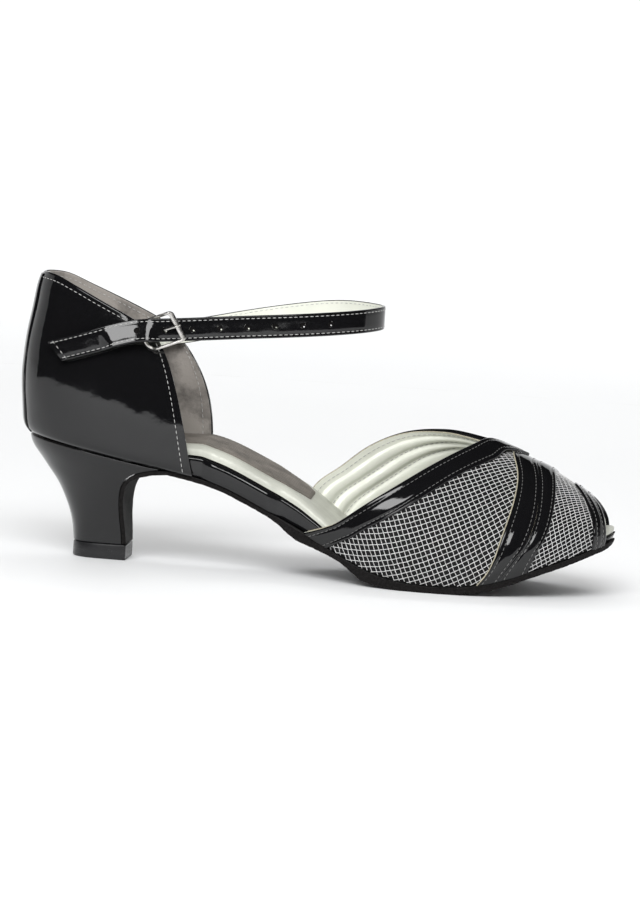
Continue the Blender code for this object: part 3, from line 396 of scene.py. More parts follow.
def section(x, turn):
    """A point on the vamp's outer surface, turned from the lateral feather line (0), over the
    ridge (0.5), to the medial feather line (1)."""
    x, turn = np.broadcast_arrays(np.asarray(x, float), np.asarray(turn, float))
    height = INSTEP_HEIGHT * last("height", x)
    low = np.minimum(WIDEST_HEIGHT, 0.3 * height)
    bulge = WALL_BULGE * last("bulge", x)
    ridge = BALL_WIDTH * last("ridge", x)
    base = feather(x, turn)
    side = np.where(turn < 0.5, -1.0, 1.0)
    reach = outline(x, side) - side * ridge + bulge
    fullness = np.where(turn < 0.5, LATERAL_FULLNESS, MEDIAL_FULLNESS)
    up = np.minimum(turn, 1 - turn)
    wall = np.clip(up / WALL_TURN, 0, 1)
    angle = np.clip((up - WALL_TURN) / (0.5 - WALL_TURN), 0, 1) * pi / 2
    y_over = ridge + side * reach * np.cos(angle) ** (2 / fullness)
    z_over = base + low + (height - low) * np.sin(angle) ** (2 / fullness)
    y_wall = ridge + side * (reach - bulge * (1 - wall) ** 2)
    z_wall = base + low * wall
    lower = up < WALL_TURN
    return np.stack([x, np.where(lower, y_wall, y_over), np.where(lower, z_wall, z_over)], -1)


def raised(x, turn, lift):
    """The vamp's surface moved out by a distance."""
    step = 1e-3
    along = section(x + 1e-4, turn) - section(x - 1e-4, turn)
    over = section(x, np.clip(turn + step, 0, 1)) - section(x, np.clip(turn - step, 0, 1))
    normal = np.cross(along, over)
    normal /= np.linalg.norm(normal, axis=-1, keepdims=True)
    return section(x, turn) + normal * np.asarray(lift)[..., None]


def throat(turn):
    """Where the throat's edge lies along the last."""
    return THROAT_START + (THROAT_POINT - THROAT_START) * edge_at("throat", turn)


def opening(turn):
    """Where the edge of the toe opening lies along the last."""
    return OPENING_POINT + OPENING_DEPTH * edge_at("opening", turn)


def stations(start, end, count):
    """Places along the last, closer together where the outline is blunt."""
    angles = np.linspace(turned(start / LAST_LENGTH), turned(end / LAST_LENGTH), count)
    return LAST_LENGTH * (1 - np.cos(angles)) / 2


def rim(x, side, push):
    """A point on the feather line's outline, pushed out square to it, as x and y."""
    x = np.clip(x, BLUNT_END, LAST_LENGTH - BLUNT_END)
    step = 1e-4
    slope = (outline(x + step, side) - outline(x - step, side)) / (2 * step)
    size = np.sqrt(1 + slope ** 2)
    return x - slope / size * push, side * (outline(x, side) + push / size)


def footprint(x, push, shares):
    """Rows across the foot from the lateral to the medial rim, as grids of x, y and share."""
    left_x, left_y = rim(x, -1, push)
    right_x, right_y = rim(x, 1, push)
    share = np.broadcast_to(shares, (len(x), len(shares)))
    grid_x = left_x[:, None] + (right_x - left_x)[:, None] * share
    grid_y = left_y[:, None] + (right_y - left_y)[:, None] * share
    return grid_x, grid_y, share


def inset(x):
    """How far the board and the sock lie inside the feather line."""
    wall = np.where(x < 0.5 * LAST_LENGTH, COUNTER_WALL - COUNTER_STAND, VAMP_WALL)
    return layer("wrapped", x) * (wall + 2 * GAP)


def board_height(x):
    return BOARD_HEIGHT * layer("board", x)


def sock_height(x):
    return SOCK_HEIGHT * layer("sock", x)


def tip_half_width(share):
    """The heel tip's half-width from its back (0) to its breast (1)."""
    round_end = np.clip(share / TIP_ROUND, 0.01, 1)
    return TIP_WIDTH / 2 * (1 - (1 - round_end) ** TIP_FULLNESS) ** (1 / TIP_FULLNESS)


def heel_ring(down, shares, longer=0.0):
    """The two sides of the heel at one level, from back to breast."""
    seat_x = BLUNT_END + (SEAT_LENGTH - BLUNT_END) * shares
    tip_x = TIP_BACK + (TIP_LENGTH + longer) * shares
    blend = HEEL_CURVES["back"](down) * (1 - shares) + HEEL_CURVES["front"](down) * shares
    x = seat_x + (tip_x - seat_x) * blend
    sides = []
    for side in (-1, 1):
        seat_z = feather(x, 0.5 + 0.5 * side) - GAP
        z = seat_z + (TOP_LIFT_HEIGHT + GAP - seat_z) * down
        seat = outline(seat_x, side)
        y = side * (seat + (tip_half_width(shares) - seat) * HEEL_CURVES["width"](down))
        sides.append(np.stack([x, y, z], -1))
    return sides


def counter_base(side, edge):
    """The feather line round the heel: its length from the back to the front, and x against the
    share of that way."""
    x = stations(0, COUNTER_FRONT + edge.further, 300)
    y = outline(x, side)
    way = np.concatenate([[0], np.cumsum(np.hypot(np.diff(x), np.diff(y)))])
    return way[-1], straight(way / way[-1], x)


BASES = {-1: counter_base(-1, LATERAL_EDGE), 1: counter_base(1, MEDIAL_EDGE)}


def counter_at(place, height, lift=0.0):
    """Points on the counter's outer face. Place runs from -1 at the lateral front edge, round the
    back, to 1 at the medial front edge. Height is 0 at the seat and 1 at the topline."""
    place, height, lift = np.broadcast_arrays(*(np.asarray(v, float) for v in (place, height, lift)))
    lateral = place < 0
    side = np.where(lateral, -1.0, 1.0)
    far = np.abs(place)
    lean_back, straightness, bend = (
        np.where(lateral, getattr(LATERAL_EDGE, name), getattr(MEDIAL_EDGE, name))
        for name in ("lean", "straight", "bend"))
    base_x = np.where(lateral, BASES[-1][1](far), BASES[1][1](far))
    fan = far ** FAN_POWER
    base_z = feather(base_x, 0.5 + 0.5 * side * far)
    top_x = (base_x - lean_back * fan) / COUNTER_FRONT
    top_z = feather(0) + COUNTER_HEIGHT * np.where(
        lateral, TOPLINE_CURVES["lateral"](top_x), TOPLINE_CURVES["medial"](top_x))
    z = base_z + (top_z - base_z) * height
    lean = lean_back * fan * (straightness * height + (1 - straightness) * height ** bend)
    start_x, start_y = rim(base_x, side, 0.0)
    push_x, push_y = rim(base_x, side, 1.0)
    level = (z - base_z) / COUNTER_HEIGHT
    roundness = np.minimum(far / BACK_ROUND, 1.0)
    back = (push_x - start_x) ** 2
    out = BACK_BULGE * SWELL_CURVES["back"](level) * back
    out = out + SIDE_BULGE * SWELL_CURVES["side"](level) * (1 - back) + COUNTER_STAND + lift
    y = start_y * roundness + (push_y - start_y) * roundness * out
    return np.stack([start_x - lean + (push_x - start_x) * out, y, z], -1)


SIDES = {}


def counter_side(x, z, side):
    """The half-width of the counter's outer face at a place in the side view."""
    if side not in SIDES:
        places = side * np.linspace(0.1, 1, 60)
        SIDES[side] = counter_at(places[:, None], np.linspace(0.2, 1, 40)[None, :]).reshape(-1, 3)
    grid = SIDES[side]
    far = (grid[:, 0] - x) ** 2 + (grid[:, 2] - z) ** 2
    near = np.argsort(far)[:4]
    weight = 1 / (far[near] + 1e-9)
    return float(np.abs(np.sum(grid[near, 1] * weight) / np.sum(weight)))


def strap_line():
    """The strap's middle line as points."""
    points = []
    for row in STRAP:
        x = STRAP_REACH * row.along
        z = float(feather(0)) + COUNTER_HEIGHT * row.height
        y = STRAP_HALF_WIDTH * row.across
        if row.seat < 0:
            y = -counter_side(x, z, -1) - TAB_THICKNESS - STRAP_STANDOFF - STRAP_THICKNESS / 2
        if row.seat > 0:
            y = counter_side(x, z, 1) - COUNTER_WALL - STRAP_STANDOFF - STRAP_THICKNESS / 2
        points.append((x, y, z))
    points = np.array(points)
    way = np.concatenate([[0], np.cumsum(np.linalg.norm(np.diff(points, axis=0), axis=1))])
    return way[-1], [smooth(way, points[:, axis]) for axis in range(3)]


def strap_frame(curves, way):
    """The strap's place, its run, its outward side and its upward side at a distance along it."""
    place = np.array([float(curve(way)) for curve in curves])
    ahead = np.array([float(curve(way + 5e-4)) for curve in curves])
    behind = np.array([float(curve(way - 5e-4)) for curve in curves])
    run = (ahead - behind) / np.linalg.norm(ahead - behind)
    out = np.array((run[1], -run[0], 0.0))
    out /= np.linalg.norm(out)
    return place, run, out, np.cross(out, run)


def beside_strap(curves, way, level, depth):
    """A point beside the strap: up from its middle line, and outward from it."""
    place, _, out, up = strap_frame(curves, way)
    return place + up * level + out * depth


def buckle_place(x, z):
    """A place in the buckle's own plane as a way along the strap and a level beside its middle line.
    The buckle swings about the hole that the prong goes through."""
    tilt = radians(BUCKLE_TILT)
    ahead = x + PRONG_REACH - (BUCKLE_LENGTH - BUCKLE_WIRE) / 2 - z * tan(radians(BUCKLE_LEAN))
    way = FIRST_HOLE + HOLE_PITCH * BUCKLE_HOLE + ahead * cos(tilt) - z * sin(tilt)
    return way, ahead * sin(tilt) + z * cos(tilt)


# The photograph's frame and its view of the shoe
IMAGE_HEIGHT = 907
PIXELS_PER_METRE = 2500
CAMERA_DISTANCE = 1.8
CAMERA_AZIMUTH = 5.7
CAMERA_ELEVATION = 5.3
CAMERA_ROLL = 3.8
CAMERA_TARGET = (0.117, 0.0, 0.048)
SENSOR = 36.0

# Where the last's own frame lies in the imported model
LIFT_LOW, LIFT_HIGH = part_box("top_lift")
ORIGIN = np.array((LIFT_LOW.x - TIP_BACK, (LIFT_LOW.y + LIFT_HIGH.y) / 2, 0.0))


def size_property(name, description, size, low, high):
    """A length in metres, with its default and its limits."""
    return bpy.props.FloatProperty(
        name=name, description=description, default=size, min=low, max=high, unit="LENGTH", precision=5)


def colour_property(name, description, *colour):
    """A material's colour, with its default."""
    return bpy.props.FloatVectorProperty(
        name=name, description=description, default=(*colour, 1), size=4, min=0, max=1, subtype="COLOR")


class ShoeSizes(bpy.types.PropertyGroup):
    """Sizes of the shoe's fine work."""
    thread_pitch: size_property(
        "Thread pitch", "Distance between the silver threads of the mesh", 0.0020, 0.001, 0.006)
    thread_width: size_property("Thread width", "Width of one silver thread", 0.00027, 0.0001, 0.001)
    stitch_length: size_property("Stitch length", "Length of one stitch", 0.0017, 0.0005, 0.005)
    stitch_gap: size_property("Stitch gap", "Distance between two stitches", 0.0005, 0.0001, 0.003)
    stitch_width: size_property("Stitch width", "Thickness of the sewing thread", 0.00030, 0.0001, 0.001)


class ShoeColours(bpy.types.PropertyGroup):
    """Colours of the shoe's materials."""
    patent: colour_property("Patent leather", "Colour of the patent leather", 0.0045, 0.0045, 0.005)
    suede: colour_property("Suede sole", "Colour of the sole", 0.006, 0.0055, 0.0055)
    silver: colour_property("Silver leather", "Colour of the sock and the linings", 0.49, 0.50, 0.445)
    lining: colour_property("Suede lining", "Colour of the counter's lining", 0.27, 0.25, 0.23)
    patch: colour_property("Heel patch", "Colour of the patch on the sock", 0.16, 0.145, 0.128)
    ground: colour_property("Mesh ground", "Colour of the cloth under the threads", 0.005, 0.005, 0.0052)
    thread: colour_property("Silver thread", "Colour of the mesh's threads", 0.80, 0.80, 0.80)
    stitch: colour_property("Stitches", "Colour of the sewing thread", 0.42, 0.42, 0.41)
    edge: colour_property("Cut edges", "Colour of the raw edges of the bands", 0.40, 0.37, 0.28)
    metal: colour_property("Buckle", "Colour of the buckle's metal", 0.72, 0.70, 0.67)
    floor: colour_property("Floor", "Colour of the floor", 0.795, 0.805, 0.815)


def sizes():
    return bpy.context.scene.shoe_sizes


def colours():
    return bpy.context.scene.shoe_colours


def add_node(tree, kind, inputs=None, **settings):
    """A node with its settings, and its inputs as values or as the sockets that feed them."""
    made = tree.nodes.new(kind)
    for name, value in settings.items():
        setattr(made, name, value)
    for name, value in (inputs or {}).items():
        if isinstance(value, bpy.types.NodeSocket):
            tree.links.new(value, made.inputs[name])
        else:
            made.inputs[name].default_value = value
    return made


def new_material(name, colour, **sockets):
    """A material, its tree, its shader and the object coordinates that its patterns read."""
    made = bpy.data.materials.new(name)
    made.use_nodes = True
    made.diffuse_color = colour
    tree = made.node_tree
    shader = tree.nodes["Principled BSDF"]
    shader.inputs["Base Color"].default_value = colour
    for socket, value in sockets.items():
        shader.inputs[socket.replace("_", " ")].default_value = value
    place = add_node(tree, "ShaderNodeTexCoord").outputs["Object"]
    return made, tree, shader, place


def speckle(tree, place, scale, detail=2.0, rough=0.5, stretch=None):
    """A noise pattern with a number of features to the metre, stretched along the axes."""
    if stretch:
        place = add_node(tree, "ShaderNodeMapping", {"Vector": place, "Scale": stretch}).outputs[0]
    return add_node(tree, "ShaderNodeTexNoise", {
        "Vector": place, "Scale": scale, "Detail": detail, "Roughness": rough}).outputs["Fac"]


def uneven(tree, shader, pattern, low, high):
    """A roughness that a pattern spreads from low to high."""
    spread = add_node(tree, "ShaderNodeMapRange", {
        "Value": pattern, "From Min": 0.3, "From Max": 0.7, "To Min": low, "To Max": high})
    tree.links.new(spread.outputs[0], shader.inputs["Roughness"])


def shade(colour, factor):
    return (*(min(1.0, part * factor) for part in tuple(colour)[:3]), 1.0)


def mottled(tree, shader, pattern, colour, dark, light, start=0.3, end=0.7):
    """A base colour that a pattern spreads between a dark and a light shade of it."""
    ramp = add_node(tree, "ShaderNodeValToRGB", {"Fac": pattern})
    for element, position, factor in zip(ramp.color_ramp.elements, (start, end), (dark, light)):
        element.position = position
        element.color = shade(colour, factor)
    tree.links.new(ramp.outputs["Color"], shader.inputs["Base Color"])


def relief(tree, shader, layers):
    """Bump from several patterns, each with its depth in metres."""
    normal = None
    for height, depth in layers:
        inputs = {"Height": height, "Distance": depth, "Strength": 1.0}
        if normal:
            inputs["Normal"] = normal
        normal = add_node(tree, "ShaderNodeBump", inputs).outputs["Normal"]
    tree.links.new(normal, shader.inputs["Normal"])


def patent_finish():
    """Black patent leather: a wavy gloss with faint grain and a little dust."""
    made, tree, shader, place = new_material(
        "patent", colours().patent, Roughness=0.06, IOR=1.5, Coat_Weight=0.1, Coat_Roughness=0.02)
    relief(tree, shader, [
        (speckle(tree, place, 70, 1.5), 0.00035),
        (speckle(tree, place, 420, 2.0), 0.000018),
        (speckle(tree, place, 2600, 1.0), 0.0000035),
    ])
    uneven(tree, shader, speckle(tree, place, 900, 4.0), 0.04, 0.10)
    return made


def suede_finish():
    """The sole's black suede: a matt nap in soft clumps."""
    made, tree, shader, place = new_material(
        "suede", colours().suede, Roughness=1.0, Specular_IOR_Level=0.15,
        Sheen_Weight=0.05, Sheen_Roughness=0.5)
    nap = speckle(tree, place, 1400, 4.0, 0.7)
    mottled(tree, shader, nap, colours().suede, 0.35, 2.4)
    relief(tree, shader, [(speckle(tree, place, 500, 3.0), 0.0003), (nap, 0.00018)])
    return made


def plastic_finish():
    """The top lift's moulded plastic, with fine scuffs near the floor."""
    made, tree, shader, place = new_material("top_lift", (0.010, 0.010, 0.011, 1), Roughness=0.3)
    scuffs = speckle(tree, place, 260, 5.0, 0.6, (1.0, 1.0, 4.0))
    uneven(tree, shader, scuffs, 0.22, 0.45)
    relief(tree, shader, [(speckle(tree, place, 900, 3.0), 0.00002)])
    return made


def silver_finish(name="silver", worn=0.82, grain=0.00005, bright=1.0):
    """Silver leather with a pebble grain, slightly mottled, with a soft metal sheen."""
    made, tree, shader, place = new_material(name, colours().silver, Roughness=0.5, Metallic=0.2)
    mottled(tree, shader, speckle(tree, place, 55, 3.0), colours().silver, worn * bright, 1.08 * bright)
    pebble = add_node(tree, "ShaderNodeTexVoronoi", {"Vector": place, "Scale": 1500.0}).outputs["Distance"]
    uneven(tree, shader, speckle(tree, place, 320, 3.0), 0.34, 0.5)
    relief(tree, shader, [(speckle(tree, place, 140, 3.0), 0.00022), (pebble, grain)])
    return made


def lining_finish():
    """The counter's grey suede lining, with darker smudges where it has been handled."""
    made, tree, shader, place = new_material(
        "suede_lining", colours().lining, Roughness=0.85, Sheen_Weight=0.3, Sheen_Roughness=0.4)
    mottled(tree, shader, speckle(tree, place, 75, 5.0, 0.62), colours().lining, 0.38, 1.12, 0.3, 0.52)
    relief(tree, shader, [
        (speckle(tree, place, 260, 4.0, 0.7), 0.0003),
        (speckle(tree, place, 2400, 2.0), 0.00008),
    ])
    return made


def patch_finish():
    """The heel patch's woven textile, with a dull thread through it."""
    made, tree, shader, place = new_material("heel_patch", colours().patch, Roughness=0.75, Metallic=0.15)
    warp, weft = (
        add_node(tree, "ShaderNodeTexWave", {"Vector": place, "Scale": 420.0, "Distortion": 0.6},
                 wave_type="BANDS", bands_direction=axis).outputs["Fac"] for axis in "XY")
    weave = add_node(tree, "ShaderNodeMath", {0: warp, 1: weft}, operation="MULTIPLY").outputs[0]
    fade = speckle(tree, place, 120, 5.0, 0.65)
    mottled(tree, shader, fade, colours().patch, 0.72, 1.45, 0.3, 0.72)
    relief(tree, shader, [(fade, 0.0001), (weave, 0.00012)])
    return made


def ground_finish():
    """The black cloth under the silver threads, with a slight gloss."""
    made, tree, shader, place = new_material(
        "mesh_ground", colours().ground, Roughness=0.6, Specular_IOR_Level=0.25)
    weave = speckle(tree, place, 1300, 2.0)
    uneven(tree, shader, speckle(tree, place, 700, 2.0), 0.5, 0.8)
    relief(tree, shader, [(weave, 0.0002)])
    return made


def thread_finish(name, colour, metallic, dull=0.45):
    """A spun thread: a fibre pattern mottles its colour, lighter in places as painted highlights where its
    fibres catch the light.
    """
    made, tree, shader, place = new_material(name, colour, Roughness=0.4, Metallic=metallic)
    fibre = speckle(tree, place, 2200, 3.0, 0.65)
    # The light end of this mottle is a painted highlight on the fibres.
    mottled(tree, shader, fibre, colour, dull, 1.35, 0.32, 0.68)
    relief(tree, shader, [(fibre, 0.0001)])
    return made


def edge_finish():
    """The raw edge of leather: dry, beige and slightly fibrous."""
    made, tree, shader, place = new_material("cut_edge", colours().edge, Roughness=0.7)
    fibre = speckle(tree, place, 900, 4.0, 0.7)
    mottled(tree, shader, fibre, colours().edge, 0.6, 1.3)
    relief(tree, shader, [(fibre, 0.0001)])
    return made


def metal_finish():
    """The buckle's plated metal, rubbed along its length."""
    made, tree, shader, place = new_material("buckle_metal", colours().metal, Metallic=1.0, Roughness=0.3)
    rubbed = speckle(tree, place, 500, 4.0, 0.6, (1.0, 1.0, 6.0))
    uneven(tree, shader, rubbed, 0.22, 0.42)
    mottled(tree, shader, rubbed, colours().metal, 0.75, 1.1)
    relief(tree, shader, [(rubbed, 0.00002)])
    return made


def floor_finish():
    """The plain pale floor, matt, with a breath of tone."""
    made, tree, shader, place = new_material("floor", colours().floor, Roughness=0.6)
    mottled(tree, shader, speckle(tree, place, 2.0, 1.0), colours().floor, 0.985, 1.01)
    relief(tree, shader, [(speckle(tree, place, 300, 2.0), 0.00005)])
    return made


# How each finish is made, and the materials made so far
FINISHES = {
    "patent": patent_finish,
    "suede": suede_finish,
    "plastic": plastic_finish,
    "silver": silver_finish,
    "forepart_lining": lambda: silver_finish("forepart_lining", 0.9, 0.00003, 1.5),
    "strap_lining": lambda: silver_finish("strap_lining", 0.9, 0.00003, 1.5),
    "suede_lining": lining_finish,
    "patch": patch_finish,
    "ground": ground_finish,
    "silver_thread": lambda: thread_finish("silver_thread", colours().thread, 0.15),
    "stitch": lambda: thread_finish("stitch", colours().stitch, 0.0, 0.6),
    "dim_stitch": lambda: thread_finish("dim_stitch", shade(colours().stitch, 0.32), 0.0, 0.6),
    "edge": edge_finish,
    "metal": metal_finish,
    "floor": floor_finish,
}
MADE = {}


def finish_of(name):
    """A material by its name, made the first time that it is asked for."""
    if name not in MADE:
        MADE[name] = FINISHES[name]()
    return MADE[name]


def place_object(name, mesh, finish):
    """An object of the shoe in the scene, at the origin, with its material."""
    mesh.materials.clear()
    mesh.materials.append(finish_of(finish))
    made = bpy.data.objects.new(name, mesh)
    bpy.context.scene.collection.objects.link(made)
    return made


def add_piece(name, finish, points, faces, sharp=40):
    """A closed piece from its points in the last's frame and its faces."""
    mesh = bpy.data.meshes.new(name)
    mesh.from_pydata((np.asarray(points).reshape(-1, 3) + ORIGIN).tolist(), [], faces)
    form = bmesh.new()
    form.from_mesh(mesh)
    bmesh.ops.remove_doubles(form, verts=form.verts, dist=1e-6)
    bmesh.ops.recalc_face_normals(form, faces=form.faces)
    form.to_mesh(mesh)
    form.free()
    mesh.shade_smooth()
    mesh.set_sharp_from_angle(angle=radians(sharp))
    return place_object(name, mesh, finish)


def belong(piece, slot, *nodes):
    """The piece rides on the shoe's one body and stands for CAD nodes, whose parts are hidden. The slot is
    not used.
    """
    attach(piece, "root")
    if nodes:
        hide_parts(*nodes)
    return piece


def loft(name, finish, rings, caps=True, sharp=40):
    """A closed piece through closed rings with as many points each."""
    rings = np.asarray(rings)
    rows, columns = rings.shape[:2]
    faces = []
    for i in range(rows - 1):
        for j in range(columns):
            k = (j + 1) % columns
            faces.append((i * columns + j, i * columns + k, (i + 1) * columns + k, (i + 1) * columns + j))
    if caps:
        faces.append(tuple(range(columns))[::-1])
        faces.append(tuple((rows - 1) * columns + j for j in range(columns)))
    return add_piece(name, finish, rings, faces, sharp)


def slab(name, finish, top, bottom, sharp=40):
    """A closed loft between two grids that face each other."""
    rows, columns = top.shape[:2]
    count = rows * columns
    faces = []
    for i in range(rows - 1):
        for j in range(columns - 1):
            a = i * columns + j
            faces.append((a, a + columns, a + columns + 1, a + 1))
            faces.append((count + a, count + a + 1, count + a + columns + 1, count + a + columns))
    for i in range(rows - 1):
        for a, b in ((i * columns, (i + 1) * columns), ((i + 2) * columns - 1, (i + 1) * columns - 1)):
            faces.append((a, count + a, count + b, b))
    for j in range(columns - 1):
        last_row = (rows - 1) * columns
        for a, b in ((j + 1, j), (last_row + j, last_row + j + 1)):
            faces.append((a, count + a, count + b, b))
    return add_piece(name, finish, np.concatenate([top.reshape(-1, 3), bottom.reshape(-1, 3)]), faces, sharp)


def wobble(points, scale, seed=0.0):
    """Smooth noise from -1 to 1 at each point, the same at each run."""
    flat = np.asarray(points).reshape(-1, 3)
    values = [noise.noise(Vector(point * scale) + Vector((seed, seed, seed))) for point in flat]
    return np.array(values).reshape(np.asarray(points).shape[:-1])


# Geometry Nodes trees
def new_tree(name, numbers):
    """A tree with named sizes, a material and a geometry, and its group's input and output nodes."""
    tree = bpy.data.node_groups.new(name, "GeometryNodeTree")
    tree.interface.new_socket("Geometry", in_out="INPUT", socket_type="NodeSocketGeometry")
    for number in numbers:
        tree.interface.new_socket(number, in_out="INPUT", socket_type="NodeSocketFloat")
    tree.interface.new_socket("Material", in_out="INPUT", socket_type="NodeSocketMaterial")
    tree.interface.new_socket("Geometry", in_out="OUTPUT", socket_type="NodeSocketGeometry")
    start = tree.nodes.new("NodeGroupInput")
    end = tree.nodes.new("NodeGroupOutput")
    return tree, start.outputs, end


def close_tree(tree, geometry, start, end):
    """Instances made real and the material set, as the last steps of a tree."""
    real = add_node(tree, "GeometryNodeRealizeInstances", {"Geometry": geometry})
    smooth_faces = add_node(tree, "GeometryNodeSetShadeSmooth", {"Geometry": real.outputs[0]})
    coloured = add_node(tree, "GeometryNodeSetMaterial", {
        "Geometry": smooth_faces.outputs[0], "Material": start["Material"]})
    tree.links.new(coloured.outputs[0], end.inputs["Geometry"])
    return tree


def stitch_tree():
    """Stitches laid end to end along the paths of a mesh."""
    tree, start, end = new_tree("stitch_row", ("Stitch Length", "Stitch Gap", "Stitch Width"))
    paths = add_node(tree, "GeometryNodeMeshToCurve", {"Mesh": start["Geometry"]})
    pitch = add_node(tree, "ShaderNodeMath", {
        0: start["Stitch Length"], 1: start["Stitch Gap"]}, operation="ADD")
    spread = add_node(tree, "GeometryNodeResampleCurve", {
        "Curve": paths.outputs[0], "Length": pitch.outputs[0]}, mode="LENGTH")
    stitch = add_node(tree, "GeometryNodeMeshUVSphere", {"Segments": 6, "Rings": 5, "Radius": 0.5})
    size = add_node(tree, "ShaderNodeCombineXYZ", {
        "X": start["Stitch Length"], "Y": start["Stitch Width"], "Z": start["Stitch Width"]})
    along = add_node(tree, "GeometryNodeInputTangent")
    turn = add_node(tree, "FunctionNodeAlignRotationToVector", {"Vector": along.outputs[0]}, axis="X")
    laid = add_node(tree, "GeometryNodeInstanceOnPoints", {
        "Points": spread.outputs[0], "Instance": stitch.outputs["Mesh"],
        "Rotation": turn.outputs[0], "Scale": size.outputs[0]})
    return close_tree(tree, laid.outputs[0], start, end)


def thread_tree():
    """A round thread along each path of a mesh."""
    tree, start, end = new_tree("thread", ("Width",))
    paths = add_node(tree, "GeometryNodeMeshToCurve", {"Mesh": start["Geometry"]})
    radius = add_node(tree, "ShaderNodeMath", {0: start["Width"], 1: 0.5}, operation="MULTIPLY")
    ring = add_node(tree, "GeometryNodeCurvePrimitiveCircle", {"Resolution": 4, "Radius": radius.outputs[0]})
    swept = add_node(tree, "GeometryNodeCurveToMesh", {
        "Curve": paths.outputs[0], "Profile Curve": ring.outputs[0], "Fill Caps": True})
    return close_tree(tree, swept.outputs[0], start, end)


def along_paths(name, finish, paths, tree, numbers):
    """A piece that a tree makes along paths, which are points in the last's frame."""
    points, edges = [], []
    for path in paths:
        first = len(points)
        points.extend((np.asarray(path) + ORIGIN).tolist())
        edges.extend((first + i, first + i + 1) for i in range(len(path) - 1))
    guide = bpy.data.meshes.new(name + "_paths")
    guide.from_pydata(points, edges, [])
    made = place_object(name, guide, finish)
    maker = made.modifiers.new(tree.name, "NODES")
    maker.node_group = tree
    for item in tree.interface.items_tree:
        if item.in_out == "INPUT" and item.name in numbers:
            maker[item.identifier] = numbers[item.name]
        if item.in_out == "INPUT" and item.name == "Material":
            maker[item.identifier] = finish_of(finish)
    depsgraph = bpy.context.evaluated_depsgraph_get()
    mesh = bpy.data.meshes.new_from_object(made.evaluated_get(depsgraph))
    made.modifiers.clear()
    made.data = mesh
    mesh.name = name
    bpy.data.meshes.remove(guide)
    return made


def sew(name, paths, slot, shorter=1.0, finish="stitch"):
    """Rows of stitches along paths."""
    numbers = {
        "Stitch Length": sizes().stitch_length * shorter,
        "Stitch Gap": sizes().stitch_gap * shorter,
        "Stitch Width": sizes().stitch_width,
    }
    tree = bpy.data.node_groups.get("stitch_row") or stitch_tree()
    return belong(along_paths(name, finish, paths, tree, numbers), slot)


def cord_line(name, finish, paths, width, slot):
    """Fine round lines along paths."""
    tree = bpy.data.node_groups.get("thread") or thread_tree()
    return belong(along_paths(name, finish, paths, tree, {"Width": width}), slot)


# Cross-sections
SEAM_DIP = 0.0006


def eased(value, start, run):
    """A share that goes smoothly from 0 to 1 over a run."""
    share = np.clip((value - start) / run, 0, 1)
    return share * share * (3 - 2 * share)


def rounded(width, thickness, radius, count=14, crown=0.0, dips=(), floor=0.0):
    """The closed ring of a flat band's section: shares across it, and heights over its base.
    Each dip is its distance from the first edge and its depth."""
    corner = radius * (1 - np.cos(np.linspace(0, pi / 2, 6)))
    flat = np.linspace(radius, width - radius, count)[1:-1]
    places = np.concatenate([corner, flat, width - corner[::-1]])
    near = np.clip(np.minimum(places, width - places) / radius, 0, 1)
    height = thickness - radius + radius * np.sqrt(np.clip(1 - (1 - near) ** 2, 0, 1))
    height = height + crown * 4 * (places / width) * (1 - places / width)
    for place, depth in dips:
        height = height - depth * np.exp(-((places - place) / SEAM_DIP) ** 2)
    share = np.concatenate([places, places[::-1]]) / width
    return share, np.concatenate([height, np.full(len(places), floor)])


# Sole, heel and footbed
def make_sole():
    """The suede sole, with a fuzzy edge: down the heel's breast, along the waist, under the forepart."""
    shares = np.concatenate([[0, 0.006, 0.02, 0.05], np.linspace(0.1, 0.9, 13), [0.95, 0.98, 0.994, 1]])
    rows = []
    for down in np.linspace(1.0, 0.04, 60):
        lateral_side, medial_side = heel_ring(down, np.array([1.0]))
        row = lateral_side + (medial_side - lateral_side) * shares[:, None]
        rows.append(row + (GAP, 0, -GAP * (1 - down)))
    x = stations(SEAT_LENGTH + BREAST_BEND, LAST_LENGTH - BLUNT_END, 300)
    grid_x, grid_y, share = footprint(x, SOLE_LEDGE * layer("ledge", x), shares)
    top = np.stack([grid_x, grid_y, feather(x[:, None], share) - GAP], -1)
    top = np.concatenate([np.array(rows), top])
    middle = top[:, len(shares) // 2, :]
    path_x = np.gradient(middle[:, 0])
    path_z = np.gradient(middle[:, 2])
    size = np.hypot(path_x, path_z)
    place = np.clip(middle[:, 0], 0, LAST_LENGTH)
    thick = SOLE_THICKNESS - (SOLE_THICKNESS - WAIST_SOLE) * layer("thin", place)
    upright = np.clip((middle[:, 0] / LAST_LENGTH - WAIST_START) / WAIST_RUN, 0, 1)
    thick = thick * (0.45 + 0.55 * toe_round(place))
    away = np.stack([path_z / size * (1 - upright), 0 * size, -path_x / size * (1 - upright) - upright], -1)
    rings = []
    for level in (0.0, 0.12, 0.35, 0.65, 0.88):
        rings.append(top + away[:, None, :] * thick[:, None, None] * level)
    bottom = top + away[:, None, :] * thick[:, None, None]
    bottom[:, :, 2] = np.maximum(bottom[:, :, 2] - (FLAT_DEPTH - GAP) * upright[:, None], 0)
    ring = np.concatenate([
        top, np.stack([grid[:, -1] for grid in rings[1:]], 1), bottom[:, ::-1],
        np.stack([grid[:, 0] for grid in rings[:0:-1]], 1)], 1)
    centre = ring.mean(axis=1, keepdims=True)
    side = np.abs(ring[..., 1] - centre[..., 1])
    edge = (side / side.max(axis=1, keepdims=True)) ** 12
    fuzz = wobble(ring, 420, 3.1) * 0.00040 + wobble(ring, 1300, 8.4) * 0.00030
    ring[..., 1] += np.sign(ring[..., 1] - centre[..., 1]) * edge * fuzz
    ring[..., 2] += np.where(ring[..., 2] > 0.0008, 1, 0) * edge * wobble(ring, 700, 5.5) * 0.00018
    ring[..., 2] = np.maximum(ring[..., 2], 0)
    belong(loft("sole_suede", "suede", ring, sharp=80), "suede_sole", "outsole")


